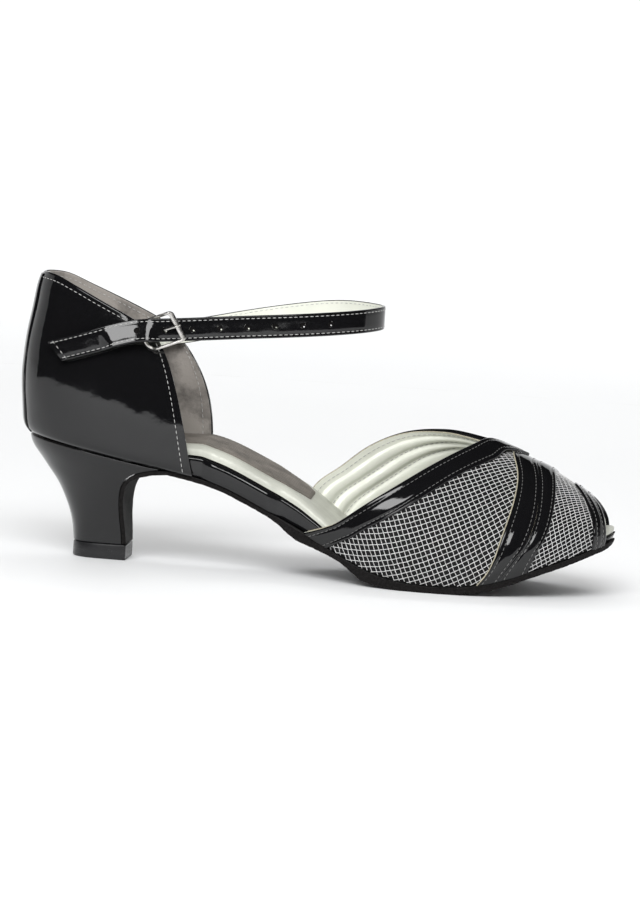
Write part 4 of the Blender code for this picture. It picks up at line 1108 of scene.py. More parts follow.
# How far the heel's top edge is eased and the counter's foot tucked in above it
HEEL_EASE = 0.0011
FOOT_TUCK = 0.0008


def heel_levels(levels, sides=36, longer=0.0):
    """Closed rings round the heel at levels from its seat (0) to its tip (1)."""
    shares = 1 - np.cos(np.linspace(0, 1, sides) * pi / 2)
    rings = []
    for down in levels:
        lateral_side, medial_side = heel_ring(down, shares, longer)
        rings.append(np.concatenate([lateral_side, medial_side[::-1]]))
    return np.array(rings)


def make_heel_block():
    """The patent-wrapped heel block."""
    ease = np.array((0.0, 0.003, 0.007, 0.012, 0.018))
    rings = heel_levels(np.concatenate([ease, np.linspace(0.03, 1, 68)]))
    middle = rings.mean(axis=1, keepdims=True)
    tucked = (1 - np.clip(ease / ease[-1], 0, 1)) ** 2 * HEEL_EASE
    outward = rings[:len(ease)] - middle[:len(ease)]
    outward[..., 2] = 0
    outward /= np.maximum(np.linalg.norm(outward, axis=-1, keepdims=True), 1e-6)
    breast = rings[:len(ease), :, :1] > SEAT_LENGTH - 0.002
    rings[:len(ease)] -= outward * tucked[:, None, None] * ~breast
    belong(loft("heel_block", "patent", rings, sharp=50), "heel_wrap", "heel")


def make_lift():
    """The moulded top lift, its edges eased."""
    ring = heel_levels([1.0], longer=WAIST_SOLE + GAP)[0]
    middle = np.array((TIP_BACK + TIP_LENGTH / 2, 0, 0))
    ease = 0.0006
    levels = []
    for height, inset_by in ((0, ease), (ease * 0.3, ease * 0.3), (ease, 0), (TOP_LIFT_HEIGHT - ease, 0),
                             (TOP_LIFT_HEIGHT - ease * 0.3, ease * 0.25), (TOP_LIFT_HEIGHT, ease * 0.8)):
        outward = ring - middle
        outward[:, 2] = 0
        size = np.linalg.norm(outward, axis=1, keepdims=True)
        level = ring - outward / size * inset_by
        level[:, 2] = height
        levels.append(level)
    belong(loft("heel_lift", "plastic", np.array(levels), sharp=60), "black_plastic", "top_lift")


def make_board():
    """The insole board, wrapped in patent leather that shows along the waist."""
    x = stations(BLUNT_END, LAST_LENGTH - BLUNT_END, 260)
    wall = (
        (-0.0020, 0.00), (-0.0006, 0.02), (-0.0002, 0.08), (0.0001, 0.3), (0.0004, 0.52), (0.00055, 0.66),
        (0.0005, 0.76), (0.0002, 0.86), (-0.0004, 0.95), (-0.0012, 0.99), (-0.0030, 1.00),
    )
    free = 1 - layer("wrapped", x)
    sides = {}
    for side in (-1, 1):
        points = []
        for push, level in wall:
            bulge = -inset(x) + np.where(push < 0, push, push * free)
            side_x, side_y = rim(x, side, bulge)
            share = 0.5 + 0.5 * side
            height = feather(side_x, share) + board_height(side_x) * level
            points.append(np.stack([side_x, side_y, height], -1))
        sides[side] = np.stack(points, 1)
    rings = np.concatenate([sides[-1], sides[1][:, ::-1]], 1)
    belong(loft("waist_board", "patent", rings, sharp=60), "board_wrap", "insole_board")


# How far from the tip of the toe the layers start to round down
TOE_TAPER = 0.004


def toe_round(x):
    """How full a layer still is near the tip of the toe, where its end is rounded down."""
    return np.sqrt(np.clip(1 - np.clip(1 - (LAST_LENGTH - x) / TOE_TAPER, 0, 1) ** 2, 0, 1))


def make_sock_pad():
    """The padded silver sock: its rim is rolled down and it crowns towards the middle."""
    x = stations(BLUNT_END, LAST_LENGTH - BLUNT_END, 280)
    near = np.array((0.0, 0.0003, 0.0008, 0.0015, 0.0025, 0.004, 0.0065))
    rows = []
    for place in x:
        width = float(outline(place, 1) + outline(place, -1)) - 2 * float(inset(place))
        edge = np.minimum(near, width * 0.45) / width
        rows.append(np.concatenate([edge, np.linspace(edge[-1], 1 - edge[-1], 17)[1:-1], 1 - edge[::-1]]))
    shares = np.array(rows)
    left_x, left_y = rim(x, -1, -inset(x))
    right_x, right_y = rim(x, 1, -inset(x))
    grid_x = left_x[:, None] + (right_x - left_x)[:, None] * shares
    grid_y = left_y[:, None] + (right_y - left_y)[:, None] * shares
    width = (right_y - left_y)[:, None]
    away = np.minimum(shares, 1 - shares) * width
    rolled = np.sqrt(np.clip(1 - (1 - np.clip(away / 0.0035, 0, 1)) ** 2, 0, 1))
    crown = 0.05 * np.sin(pi * shares)
    height = sock_height(grid_x) * (0.32 + (0.68 * rolled + crown) * toe_round(grid_x))
    under = feather(grid_x, shares) + board_height(grid_x) + GAP
    top = np.stack([grid_x, grid_y, under + height], -1)
    top[..., 2] += wobble(top, 60, 1.7) * 0.00022 * rolled
    bottom = np.stack([grid_x, grid_y, under], -1)
    sock = slab("sock_pad", "silver", top, bottom, sharp=70)
    belong(sock, "silver_leather", "sock")


def make_patch():
    """The woven patch on the sock, its place for a print left bare."""
    x = np.linspace(PAD_START, PAD_END, 120)
    middle = (2 * x - PAD_START - PAD_END) / (PAD_END - PAD_START)
    narrow = (outline(x, 1) - inset(x)) * (1 - np.sqrt(1 - 0.7 * np.abs(middle) ** 10))
    shares = np.linspace(0, 1, 25)
    grid_x, grid_y, share = footprint(x, -inset(x) - PAD_MARGIN - narrow, shares)
    lean = 0.15 + 0.7 * share
    under = feather(grid_x, lean) + board_height(grid_x) + GAP
    under = under + sock_height(grid_x) * (1.0 + 0.05 * np.sin(pi * lean))
    place = np.stack([grid_x, grid_y, under], -1)
    place[..., 2] += wobble(place, 60, 1.7) * 0.00022
    belong(slab("heel_patch", "patch", place + (0, 0, 0.0006), place - (0, 0, 0.0002), sharp=70),
           "heel_textile", "heel_pad")
    rim_path = np.concatenate([place[:, 0], place[-1], place[::-1, -1]]) + (0, 0, 0.0005)
    sew("patch_edge", [rim_path[8:-8]], "heel_textile", 0.7, "patch")


# Counter and lining
def counter_ring(places, heights, lifts):
    """Rings over the counter's top edge, from its outer foot to its inner foot."""
    return np.stack([counter_at(places, height, lift) for height, lift in zip(heights, lifts)], 1)


# How far the creases of the counter's lining bulge inwards
CREASE_SWELL = 20


def make_counter_shell():
    """The patent counter with its folded top edge, and the suede lining inside it."""
    side = np.linspace(0.2, 1, 90)
    places = np.concatenate([-side[::-1], np.linspace(-0.19, 0.19, 60), side])
    rise = 1 - (1 - np.linspace(0, 1, 46)) ** 1.4
    skin = 0.0011
    up = rise * 0.988
    turn_over = ((0.994, -0.08), (0.999, -0.3), (1.0, -0.55), (0.998, -0.85))
    heights = np.concatenate([up, [row[0] for row in turn_over], up[::-1]])
    tuck = -FOOT_TUCK * np.exp(-(up * COUNTER_HEIGHT / 0.0009) ** 2)
    lifts = np.concatenate([tuck, [row[1] * skin for row in turn_over], 0 * up - skin])
    rings = counter_ring(places, heights, lifts)
    soft = wobble(rings, 42, 2.2) * 0.00022 + wobble(rings, 110, 6.1) * 0.00006
    middle = np.array((0.045, 0.0, 0.0))
    outward = rings - middle
    outward[..., 2] = 0
    outward /= np.linalg.norm(outward, axis=-1, keepdims=True)
    rings += outward * soft[..., None]
    belong(loft("counter_patent", "patent", rings, sharp=60), "patent_leather", "counter")
    up = rise * 0.982
    heights = np.concatenate([up, [0.99, 0.994, 0.99], up[::-1]])
    lifts = np.concatenate([0 * up - skin - 0.00012, [-skin - 0.0002, -skin - 0.0005, -skin - 0.0009],
                            0 * up - COUNTER_WALL])
    rings = counter_ring(places * 0.996, heights, lifts)
    crease = wobble(rings, 90, 9.3) * 0.0002
    inner = np.zeros(rings.shape[:2])
    inner[:, len(up) + 3:] = 1
    rings += (rings - middle) * (crease * inner * CREASE_SWELL)[..., None] * (1, 1, 0)
    belong(loft("counter_lining", "suede_lining", rings, sharp=60), "patent_leather")


def make_back_cover():
    """The patent strip over the back seam."""
    low, high = -BACK_STRIP_WIDTH / 2 / BASES[-1][0], BACK_STRIP_WIDTH / 2 / BASES[1][0]
    heights = np.linspace(0.003, 0.985, 110)
    share, lift = rounded(BACK_STRIP_WIDTH, BACK_STRIP_THICKNESS, 0.0003, 18)
    tuck = FOOT_TUCK * np.exp(-(heights * COUNTER_HEIGHT / 0.0016) ** 2)
    rings = np.stack([counter_at(low + (high - low) * share, height, lift - foot)
                      for height, foot in zip(heights, tuck)], 0)
    belong(loft("back_strip_patent", "patent", rings, sharp=60), "patent_leather", "back_strip")


# Vamp: ground cloth, lining and silver threads
def band_edge(turn):
    """The lower edge of the throat bands."""
    return THROAT_START + (THROAT_POINT - THROAT_START) * edge_at("band", turn)


def binding_edge(turn):
    """The heel edge of the toe opening's binding."""
    return opening(turn) - TOE_BINDING * edge_at("binding", turn)


def share_edge(name, further=0.0):
    """An edge of a cross band as a function of the turn, moved on towards the toe by a distance."""
    return lambda turn: LAST_LENGTH * edge_at(name, turn) + further


# The forepart's lining: how deep it lies, and its puffed folds under the topline, with the middle
# and half-width of each as shares of the throat band's width, and how full it is
FOLD_DEPTH = 0.0013
LINING_DEPTH = 0.0013
FOLDS = ((0.42, 0.15, 0.8), (0.82, 0.14, 1.0), (1.28, 0.2, 0.7))


def fold_depth(x, turn):
    """How far the forepart's lining is puffed up between its rows of stitches."""
    width = np.maximum(band_edge(turn) - throat(turn), 0.004)
    share = (x - throat(turn)) / width
    folds = 0
    for middle, reach, size in FOLDS:
        folds = folds + size * np.sqrt(np.clip(1 - ((share - middle) / reach) ** 2, 0, 1))
    return FOLD_DEPTH * folds


def make_vamp_shell():
    """The vamp's black ground cloth and its silver lining, with puffed folds along the topline."""
    turn = np.linspace(0, 1, 200)
    back = throat(turn) + 0.0002
    x = back + (opening(turn) - back) * np.linspace(0, 1, 90)[:, None]
    spread = np.broadcast_to(turn, x.shape)
    belong(slab("vamp_ground", "ground", raised(x, spread, 0.0), raised(x, spread, -0.0007), sharp=60),
           "mesh_fabric", "vamp")
    ways = np.linspace(0, 1, 140) ** 1.3
    x = throat(turn) + (opening(turn) - throat(turn)) * ways[:, None]
    spread = np.broadcast_to(turn, x.shape)
    top = raised(x, spread, -0.00075)
    bottom = raised(x, spread, -LINING_DEPTH - fold_depth(x, spread))
    belong(slab("vamp_lining", "forepart_lining", top, bottom, sharp=60), "silver_leather")


def girth_table(count=160, steps=240):
    """The vamp's girth from the lateral feather line: x, turn and the way round."""
    x = np.linspace(THROAT_START - 0.012, LAST_LENGTH - 0.001, count)
    turn = np.linspace(0, 1, steps)
    points = section(x[:, None], turn[None, :])
    lengths = np.linalg.norm(np.diff(points, axis=1), axis=2)
    return x, turn, np.concatenate([np.zeros((count, 1)), np.cumsum(lengths, axis=1)], axis=1)


def turn_at(table, x, way):
    """The turn at a way round the vamp, or nothing outside it."""
    xs, turns, ways = table
    i = int(np.clip(np.searchsorted(xs, x) - 1, 0, len(xs) - 2))
    t = (x - xs[i]) / (xs[i + 1] - xs[i])
    row = ways[i] * (1 - t) + ways[i + 1] * t
    return np.interp(way, row, turns, left=np.nan, right=np.nan)


# The mesh: slants of the two panels in degrees, the toe panel's threads as shares of the main ones,
# how high the threads lie and wave, and how far they go in under the bands
MAIN_SLANT = 24
TOE_SLANT = 13
TOE_PITCH = 0.82
TOE_WIDTH = 0.95
THREAD_LEVEL = 0.00017
THREAD_WAVE = 0.00007
THREAD_SWAY = 0.00010
THREAD_SLACK = 0.0012


def thread_paths(table, slant, pitch, inside):
    """Woven threads of both families across a panel, over and under each other."""
    c, s = cos(radians(slant)), sin(radians(slant))
    low_x, high_x = table[0][0], table[0][-1]
    bound = high_x + table[2].max()
    paths = []
    steps_each = 3
    for family in (0, 1):
        for number in range(int(-bound / pitch), int(bound / pitch)):
            offset = number * pitch
            path = []
            for step in range(int(-bound / pitch) * steps_each, int(bound / pitch) * steps_each):
                other = step * pitch / steps_each
                if family == 0:
                    x, way = other * c - offset * s, other * s + offset * c
                else:
                    x, way = offset * c - other * s, offset * s + other * c
                keep = low_x < x < high_x and way > 0
                turn = float(turn_at(table, x, way)) if keep else np.nan
                if keep and not np.isnan(turn) and inside(x, turn):
                    wave = cos(pi * other / pitch) * (1 if (number + family) % 2 else -1)
                    path.append((x, turn, THREAD_LEVEL + THREAD_WAVE * wave))
                    continue
                if len(path) > 3:
                    paths.append(path)
                path = []
            if len(path) > 3:
                paths.append(path)
    laid = []
    for number, path in enumerate(paths):
        x, turn, lift = np.array(path).T
        x = x + THREAD_SWAY * np.sin(np.arange(len(x)) * 0.7 + number * 1.9)
        laid.append(raised(x, turn, lift))
    return laid


def make_threads():
    """The silver threads of the mesh on the main panel and on the toe panel."""
    table = girth_table()

    def between(back, front):
        return lambda x, turn: (
            0.004 < turn < 0.996 and back(turn) - THREAD_SLACK < x < front(turn) + THREAD_SLACK)
    for name, inside, slant, pitch, width in (
            ("main", between(band_edge, share_edge("back_band")), MAIN_SLANT, 1, 1),
            ("toe", between(share_edge("front_end"), binding_edge), TOE_SLANT, TOE_PITCH, TOE_WIDTH)):
        paths = thread_paths(table, slant, sizes().thread_pitch * pitch, inside)
        cord_line("mesh_threads_" + name, "silver_thread", paths,
                  sizes().thread_width * width, "mesh_fabric")


# Bands on the vamp
def lay_band(name, back, front, turns, ring, node, lift=None):
    """A band across the vamp with a closed section."""
    share, height = ring
    edge = back(turns)[:, None]
    x = edge + (front(turns)[:, None] - edge) * share[None, :]
    rise = 0 if lift is None else lift(turns)[:, None]
    rings = raised(x, np.broadcast_to(turns[:, None], x.shape), height[None, :] + rise)
    belong(loft(name, "patent", rings, sharp=60), "patent_leather", node)


def seam(back, front, share, turns, height, lift=None):
    """A path on a band at a share of its width."""
    x = back(turns) + (front(turns) - back(turns)) * share
    rise = height if lift is None else height + lift(turns)
    return raised(x, turns, rise)


# The bands' top faces, how far the heelward cross band reaches under the toeward one, the turn at
# which the bands start over the sole, the corners' radius and the level of the underside
BAND_TOP = GAP + 0.75 * BAND_THICKNESS
BAND_UNDER = 0.0006
FOOT = 0.006
BAND_ROUND = 0.0006
BAND_FLOOR = 0.00005

# The crossing of the throat bands: where the lateral one's edges run over the ridge, past the
# throat's point, how fast they run on with the turn, and where each band ends
CROSSING_BACK = 0.0016
CROSSING_FRONT = 0.0118
CROSSING_RUN = 0.105
CROSSING_RISE = 0.0012
LATERAL_END = 0.535
MEDIAL_START = 0.515

# Rows of stitches, as shares of a band's width
THROAT_ROWS = (0.21, 0.815)
CROSS_ROWS = (0.2, 0.8)
BINDING_ROWS = (0.25, 0.7)
LINING_ROWS = (0.13, 0.62, 1.03)


def crossing_edge(own, onward, turn, start, run):
    """An edge of the lateral throat band: it leaves its own line near the ridge and crosses over."""
    across = THROAT_POINT + onward + (turn - 0.5) * CROSSING_RUN
    share = eased(turn, start, run)
    return own(turn) * (1 - share) + across * share


def crossing_back(turn):
    return crossing_edge(throat, CROSSING_BACK, turn, 0.44, 0.06)


def crossing_front(turn):
    return crossing_edge(band_edge, CROSSING_FRONT, turn, 0.40, 0.07)


def crossing_lift(turn):
    """How far the lateral band is lifted where it lies over the other bands."""
    return CROSSING_RISE * eased(turn, 0.40, 0.09)


def make_patent_bands():
    """The throat bands, the two cross bands and the toe binding, with their stitches."""
    ring = rounded(0.0095, BAND_TOP, BAND_ROUND, 24, 0.0002,
                   ((0.002, 0.00018), (0.0078, 0.0003)), BAND_FLOOR)
    lateral = np.linspace(FOOT, LATERAL_END, 230)
    lay_band("throat_band_over", crossing_back, crossing_front, lateral, ring, "throat_band_lateral",
             crossing_lift)
    medial = np.linspace(MEDIAL_START, 1 - FOOT, 200)
    lay_band("throat_band_under", throat, band_edge, medial, ring, "throat_band_medial")
    rows = [seam(crossing_back, crossing_front, share, lateral[4:-6], BAND_TOP, crossing_lift)
            for share in THROAT_ROWS]
    rows += [seam(throat, band_edge, share, medial[6:-4], BAND_TOP) for share in THROAT_ROWS]
    whole = np.linspace(FOOT, 1 - FOOT, 330)
    ring = rounded(0.0078, BAND_TOP, BAND_ROUND, 20, 0.00015,
                   ((0.0016, 0.00018), (0.0062, 0.00018)), BAND_FLOOR)
    edges = []
    for name, back, front, node in (
            ("cross_band_heelward", share_edge("back_band"), share_edge("front_band", BAND_UNDER),
             "cross_band_back"),
            ("cross_band_toeward", share_edge("front_band"), share_edge("front_end"),
             "cross_band_front")):
        lay_band(name, back, front, whole, ring, node)
        rows += [seam(back, front, share, whole[3:-3], BAND_TOP) for share in CROSS_ROWS]
        edges.append(seam(back, front, -0.01, whole, 0.0009))
    ring = rounded(TOE_BINDING, BAND_TOP, BAND_ROUND, 14, 0.0001,
                   ((0.0013, 0.0002), (0.0036, 0.0002)), -0.0006)
    lay_band("toe_binding_patent", binding_edge, opening, whole, ring, "toe_binding")
    rows += [seam(binding_edge, opening, share, whole[3:-3], BAND_TOP) for share in BINDING_ROWS]
    sew("band_stitches", rows, "patent_leather", 0.9, "dim_stitch")
    cord_line("band_edges", "edge", edges, 0.0005, "patent_leather")
    topline = seam(throat, band_edge, 0, np.linspace(0.02, 0.99, 260), -0.0010) - (0.0001, 0, 0)
    cord_line("topline_edge", "edge", [topline], 0.0006, "silver_leather")
    inner = []
    turns = medial[4:-6]
    for share in LINING_ROWS:
        x = throat(turns) + (band_edge(turns) - throat(turns)) * share
        inner.append(raised(x, turns, -0.00142 - fold_depth(x, turns)))
    sew("lining_stitches", inner, "silver_leather")


# Ankle strap and buckle: where the strap is twisted, in degrees and in metres along it
STRAP_TWIST = 17
TWIST_STARTS = 0.0215
TWIST_ENDS = 0.0460
TWIST_RUN = 0.0045


def strap_twist(way):
    """The strap's turn about its upper edge, where it lies over the buckle's heel side."""
    inside = min(way - TWIST_STARTS, TWIST_ENDS - way)
    return radians(STRAP_TWIST) * eased(inside, 0, TWIST_RUN)


def strap_rings(length, curves, ways, share, depth):
    """Closed rings along the strap: shares across it from its lower edge, and depths outward."""
    rings = []
    for way in ways:
        ring = []
        for across, out_by in zip(share, depth):
            start = STRAP_SLANT * (1 - across)
            distance = start + way * (length - start)
            place, _, out, up = strap_frame(curves, distance)
            twist = strap_twist(distance)
            under_top = STRAP_WIDTH * (1 - across)
            place = place + up * (STRAP_WIDTH / 2 - under_top * cos(twist)) + out * under_top * sin(twist)
            ring.append(place + (out * cos(twist) + up * sin(twist)) * out_by)
        rings.append(ring)
    return np.array(rings)


def hole_place(curves, number):
    """A hole's place and its outward side."""
    way = FIRST_HOLE + HOLE_PITCH * number
    place, _, out, up = strap_frame(curves, way)
    twist = strap_twist(way)
    place = place + up * STRAP_WIDTH / 2 * (1 - cos(twist)) + out * STRAP_WIDTH / 2 * sin(twist)
    return place, out * cos(twist) + up * sin(twist)


# The wall inside a hole, drawn in to a near-closed dark sheet that paints the shade deep in the hole:
# radius, depth and shift of each of its rings, as shares of the hole's radius and the strap's thickness
HOLE_WALL_SHADE = ((0.98, 0.1, 0.0), (0.24, -0.25, 0.42), (0.24, -0.35, 0.42), (0.98, -0.35, 0.0))


def make_hole_wall_shade(curves):
    """The cut wall inside each hole in black, drawn in towards the lining to a near-closed sheet: painted
    shade that keeps the holes dark.
    """
    sides = 20
    points, faces = [], []
    for number in range(HOLE_COUNT):
        place, out = hole_place(curves, number)
        run = np.cross(out, (0, 0, 1))
        run /= np.linalg.norm(run)
        up = np.cross(run, out)
        first = len(points)
        for radius, depth, shift in HOLE_WALL_SHADE:
            for step in range(sides):
                angle = 2 * pi * step / sides
                spot = run * (cos(angle) * radius - shift) + up * (sin(angle) * radius - shift)
                points.append(place + spot * HOLE_DIAMETER / 2 + out * depth * STRAP_THICKNESS)
        for row in range(len(HOLE_WALL_SHADE)):
            for step in range(sides):
                a, b = first + row * sides, first + (row + 1) % len(HOLE_WALL_SHADE) * sides
                faces.append((a + step, a + (step + 1) % sides, b + (step + 1) % sides, b + step))
    # The black suede material here paints the shade inside the holes.
    belong(add_piece("hole_walls", "suede", points, faces, 50), "patent_leather")


def hole_cutter(curves):
    """One mesh of round pins at the strap's holes."""
    form = bmesh.new()
    for number in range(HOLE_COUNT):
        place, out = hole_place(curves, number)
        turn = Vector(out).to_track_quat("Z", "Y").to_matrix().to_4x4()
        bmesh.ops.create_cone(
            form, cap_ends=True, segments=28, radius1=HOLE_DIAMETER / 2, radius2=HOLE_DIAMETER / 2,
            depth=5 * STRAP_THICKNESS, matrix=Matrix.Translation(Vector(place + ORIGIN)) @ turn)
    mesh = bpy.data.meshes.new("hole_pins")
    form.to_mesh(mesh)
    form.free()
    pins = bpy.data.objects.new("hole_pins", mesh)
    bpy.context.scene.collection.objects.link(pins)
    return pins


def punch(piece, pins):
    """Cuts the pins out of a piece."""
    cut = piece.modifiers.new("holes", "BOOLEAN")
    cut.object = pins
    cut.operation = "DIFFERENCE"
    cut.solver = "EXACT"
    depsgraph = bpy.context.evaluated_depsgraph_get()
    mesh = bpy.data.meshes.new_from_object(piece.evaluated_get(depsgraph))
    piece.modifiers.clear()
    piece.data = mesh
    mesh.set_sharp_from_angle(angle=radians(35))


def make_ankle_strap():
    """The ankle strap's patent face and its lining, with holes through both, and its stitches."""
    length, curves = strap_line()
    ways = np.linspace(0, 1, 330)
    half = STRAP_THICKNESS / 2
    skin = 0.0003
    share, height = rounded(STRAP_WIDTH, 2 * half - skin, 0.0005, 12, 0.0,
                            ((0.0012, 0.0001), (STRAP_WIDTH - 0.0012, 0.0001)))
    rings = strap_rings(length, curves, ways, share, height - half + skin)
    face = loft("strap_patent", "patent", rings, sharp=50)
    narrower = 0.0006
    share, height = rounded(STRAP_WIDTH - narrower, 0.0005, 0.00015, 8)
    share = 0.5 + (share - 0.5) * (1 - narrower / STRAP_WIDTH)
    rings = strap_rings(length, curves, ways, share, 0.00028 - half - height)
    back = loft("strap_inside", "strap_lining", rings, sharp=50)
    pins = hole_cutter(curves)
    punch(face, pins)
    punch(back, pins)
    bpy.data.objects.remove(pins)
    # Black walls drawn in at the holes paint the shade inside them.
    make_hole_wall_shade(curves)
    belong(face, "patent_leather", "ankle_strap")
    belong(back, "silver_leather")
    low, high = 0.13, 0.87
    rows = []
    for across in (low, high):
        for depth in (half - 0.00002, -half - 0.0002):
            rows.append(strap_rings(length, curves, np.linspace(0.006, 0.985, 300), [across], [depth])[:, 0])
    end = [strap_rings(length, curves, [0.009], [across], [half])[0, 0]
           for across in np.linspace(low, high, 6)]
    sew("strap_stitches", rows + [np.array(end)], "patent_leather", 0.95)


def sweep(path, ups, radii, closed):
    """Rings of an elliptical wire along a path: each radius pair is sideways and along up."""
    path = np.asarray(path)
    count = len(path)
    angles = np.linspace(0, 2 * pi, 16, endpoint=False)
    rings = []
    for i in range(count):
        ahead = path[(i + 1) % count] if closed or i < count - 1 else path[i]
        behind = path[i - 1] if closed or i > 0 else path[i]
        run = (ahead - behind) / np.linalg.norm(ahead - behind)
        up = ups[i] - run * np.dot(ups[i], run)
        up /= np.linalg.norm(up)
        side = np.cross(run, up)
        wide, deep = radii[i]
        rings.append([path[i] + side * cos(a) * wide + up * sin(a) * deep for a in angles])
    if closed:
        rings.append(rings[0])
    return np.array(rings)


TOE_CORNER = 0.0014
HEEL_CORNER = 0.004


def buckle_outline(half, tall):
    """The buckle's ring as closely spaced places in its own plane: tight corners at the toe side and
    wide ones at the heel side."""
    corners = []
    for corner, (side, level) in enumerate(((1, 1), (-1, 1), (-1, -1), (1, -1))):
        radius = TOE_CORNER if side > 0 else HEEL_CORNER
        for step in range(10):
            angle = (corner + step / 9) * pi / 2
            corners.append((side * (half - radius) + radius * cos(angle),
                            level * (tall - radius) + radius * sin(angle)))
    ring = []
    for i, point in enumerate(corners):
        following = corners[(i + 1) % len(corners)]
        pieces = max(1, int(np.hypot(following[0] - point[0], following[1] - point[1]) / 0.0007))
        for step in range(pieces):
            t = step / pieces
            ring.append((point[0] + (following[0] - point[0]) * t, point[1] + (following[1] - point[1]) * t))
    return ring


def make_buckle_pieces():
    """The buckle's frame with its flat front bar, its prong and the tab that holds it."""
    curves = strap_line()[1]
    over = STRAP_THICKNESS / 2 + GAP + BUCKLE_WIRE / 2
    half = (BUCKLE_LENGTH - BUCKLE_WIRE) / 2
    tall = (BUCKLE_HEIGHT - BUCKLE_WIRE) / 2
    path, ups, radii = [], [], []
    for x, z in buckle_outline(half, tall):
        way, level = buckle_place(x, z)
        bend = np.clip((x - BUCKLE_FOLD * z / tall) / BUCKLE_BEND, -1, 1)
        path.append(beside_strap(curves, way, level, over * sin(bend * pi / 2)))
        ups.append(strap_frame(curves, way)[2])
        flat = np.clip((x - half * 0.86) / (half * 0.12), 0, 1)
        radii.append((BUCKLE_WIRE / 2 * (1 + 0.6 * flat), BUCKLE_WIRE / 2 * (1 - 0.25 * flat)))
    frame_piece = loft("buckle_wire", "metal", sweep(path, ups, radii, True), caps=False, sharp=60)
    belong(frame_piece, "buckle_metal", "buckle_frame")
    under = -STRAP_THICKNESS / 2 - GAP - PRONG_WIRE / 2
    crest = over + BUCKLE_WIRE / 2 + GAP + PRONG_WIRE / 2
    hole = half - PRONG_REACH
    route = (
        (-half + BUCKLE_WIRE / 2 + 2 * GAP, under), (hole - PRONG_WIRE / 2, under),
        (hole + PRONG_WIRE / 4, -under), (half - BUCKLE_WIRE / 2, crest), (half + BUCKLE_WIRE, crest),
    )
    places = np.linspace(route[0][0], route[-1][0], 40)
    depths = np.interp(places, [row[0] for row in route], [row[1] for row in route])
    path = [beside_strap(curves, *buckle_place(x, 0), depth) for x, depth in zip(places, depths)]
    ups = [strap_frame(curves, buckle_place(x, 0)[0])[3] for x in places]
    radius = [(PRONG_WIRE / 2 * min(1, 0.45 + (len(places) - 1 - i) * 0.1),) * 2 for i in range(len(places))]
    prong = loft("buckle_pin", "metal", sweep(path, ups, radius, False), sharp=60)
    belong(prong, "buckle_metal", "buckle_prong")
    slope = radians(BUCKLE_TILT + BUCKLE_LEAN)
    heel_bar = (PRONG_REACH + BUCKLE_WIRE - BUCKLE_LENGTH) * cos(radians(BUCKLE_LEAN))
    end = FIRST_HOLE + HOLE_PITCH * BUCKLE_HOLE + (heel_bar - BUCKLE_WIRE / 2 - GAP) / cos(slope)
    share, height = rounded(TAB_HEIGHT, TAB_THICKNESS, 0.0004, 8)
    rings = []
    for back in np.linspace(TAB_LENGTH, 0, 40):
        ring = []
        for across, rise in zip(share, height):
            level = TAB_HEIGHT * (across - 0.5)
            point = beside_strap(curves, end - back - level * tan(slope), level, 0)
            y = -counter_side(point[0], point[2], -1) - GAP - rise
            ring.append((point[0], y, point[2]))
        rings.append(ring)
    belong(loft("buckle_holder", "patent", rings, sharp=60), "patent_leather", "buckle_tab")


# Stitches on the counter
def make_counter_stitches():
    """The rows along the counter's topline and front edges, outside and inside."""
    rows = []
    under_top = 0.0024 / COUNTER_HEIGHT
    way = np.linspace(0, 1, 200)
    for lift in (0.0001, -COUNTER_WALL - 0.00005):
        for side in (-1, 1):
            places = side * (0.12 + 0.83 * way) if lift > 0 else side * (0.02 + 0.93 * way)
            rows.append(counter_at(places, 1 - under_top * (1 + 0.6 * np.abs(places) ** 3), lift))
            rows.append(counter_at(np.full(200, side * 0.955), 0.03 + 0.93 * way, lift))
    sew("counter_stitches", rows, "patent_leather")


# Stage
def floor_mesh(name, inner, outer, rise, first=0.0, around=2 * pi):
    """A ring of the floor, or a part of one, with its far rim curved up by a height."""
    rows, sides = 40, 96
    points, faces = [], []
    for i in range(rows + 1):
        t = i / rows
        radius = inner + (outer - inner) * t
        bend = max(0.0, (t - 0.5) / 0.5)
        for j in range(sides + 1):
            angle = first + around * j / sides
            points.append((radius * cos(angle), radius * sin(angle), rise * (1 - cos(bend * pi / 2))))
    for i in range(rows):
        for j in range(sides):
            a, b = i * (sides + 1) + j, (i + 1) * (sides + 1) + j
            faces.append((a, b, b + 1, a + 1))
    mesh = bpy.data.meshes.new(name)
    mesh.from_pydata(points, [], faces)
    form = bmesh.new()
    form.from_mesh(mesh)
    bmesh.ops.remove_doubles(form, verts=form.verts, dist=1e-6)
    form.to_mesh(mesh)
    form.free()
    mesh.shade_smooth()
    made = place_object(name, mesh, "floor")
    return made


def soft_light(name, place, target, wide, tall, power):
    """A white area light turned towards a target."""
    light = bpy.data.lights.new(name, "AREA")
    light.shape = "RECTANGLE"
    light.size, light.size_y = wide, tall
    light.energy = power
    made = bpy.data.objects.new(name, light)
    made.location = place
    made.rotation_mode = "QUATERNION"
    made.rotation_quaternion = (Vector(target) - Vector(place)).to_track_quat("-Z", "Y")
    bpy.context.scene.collection.objects.link(made)
    return made


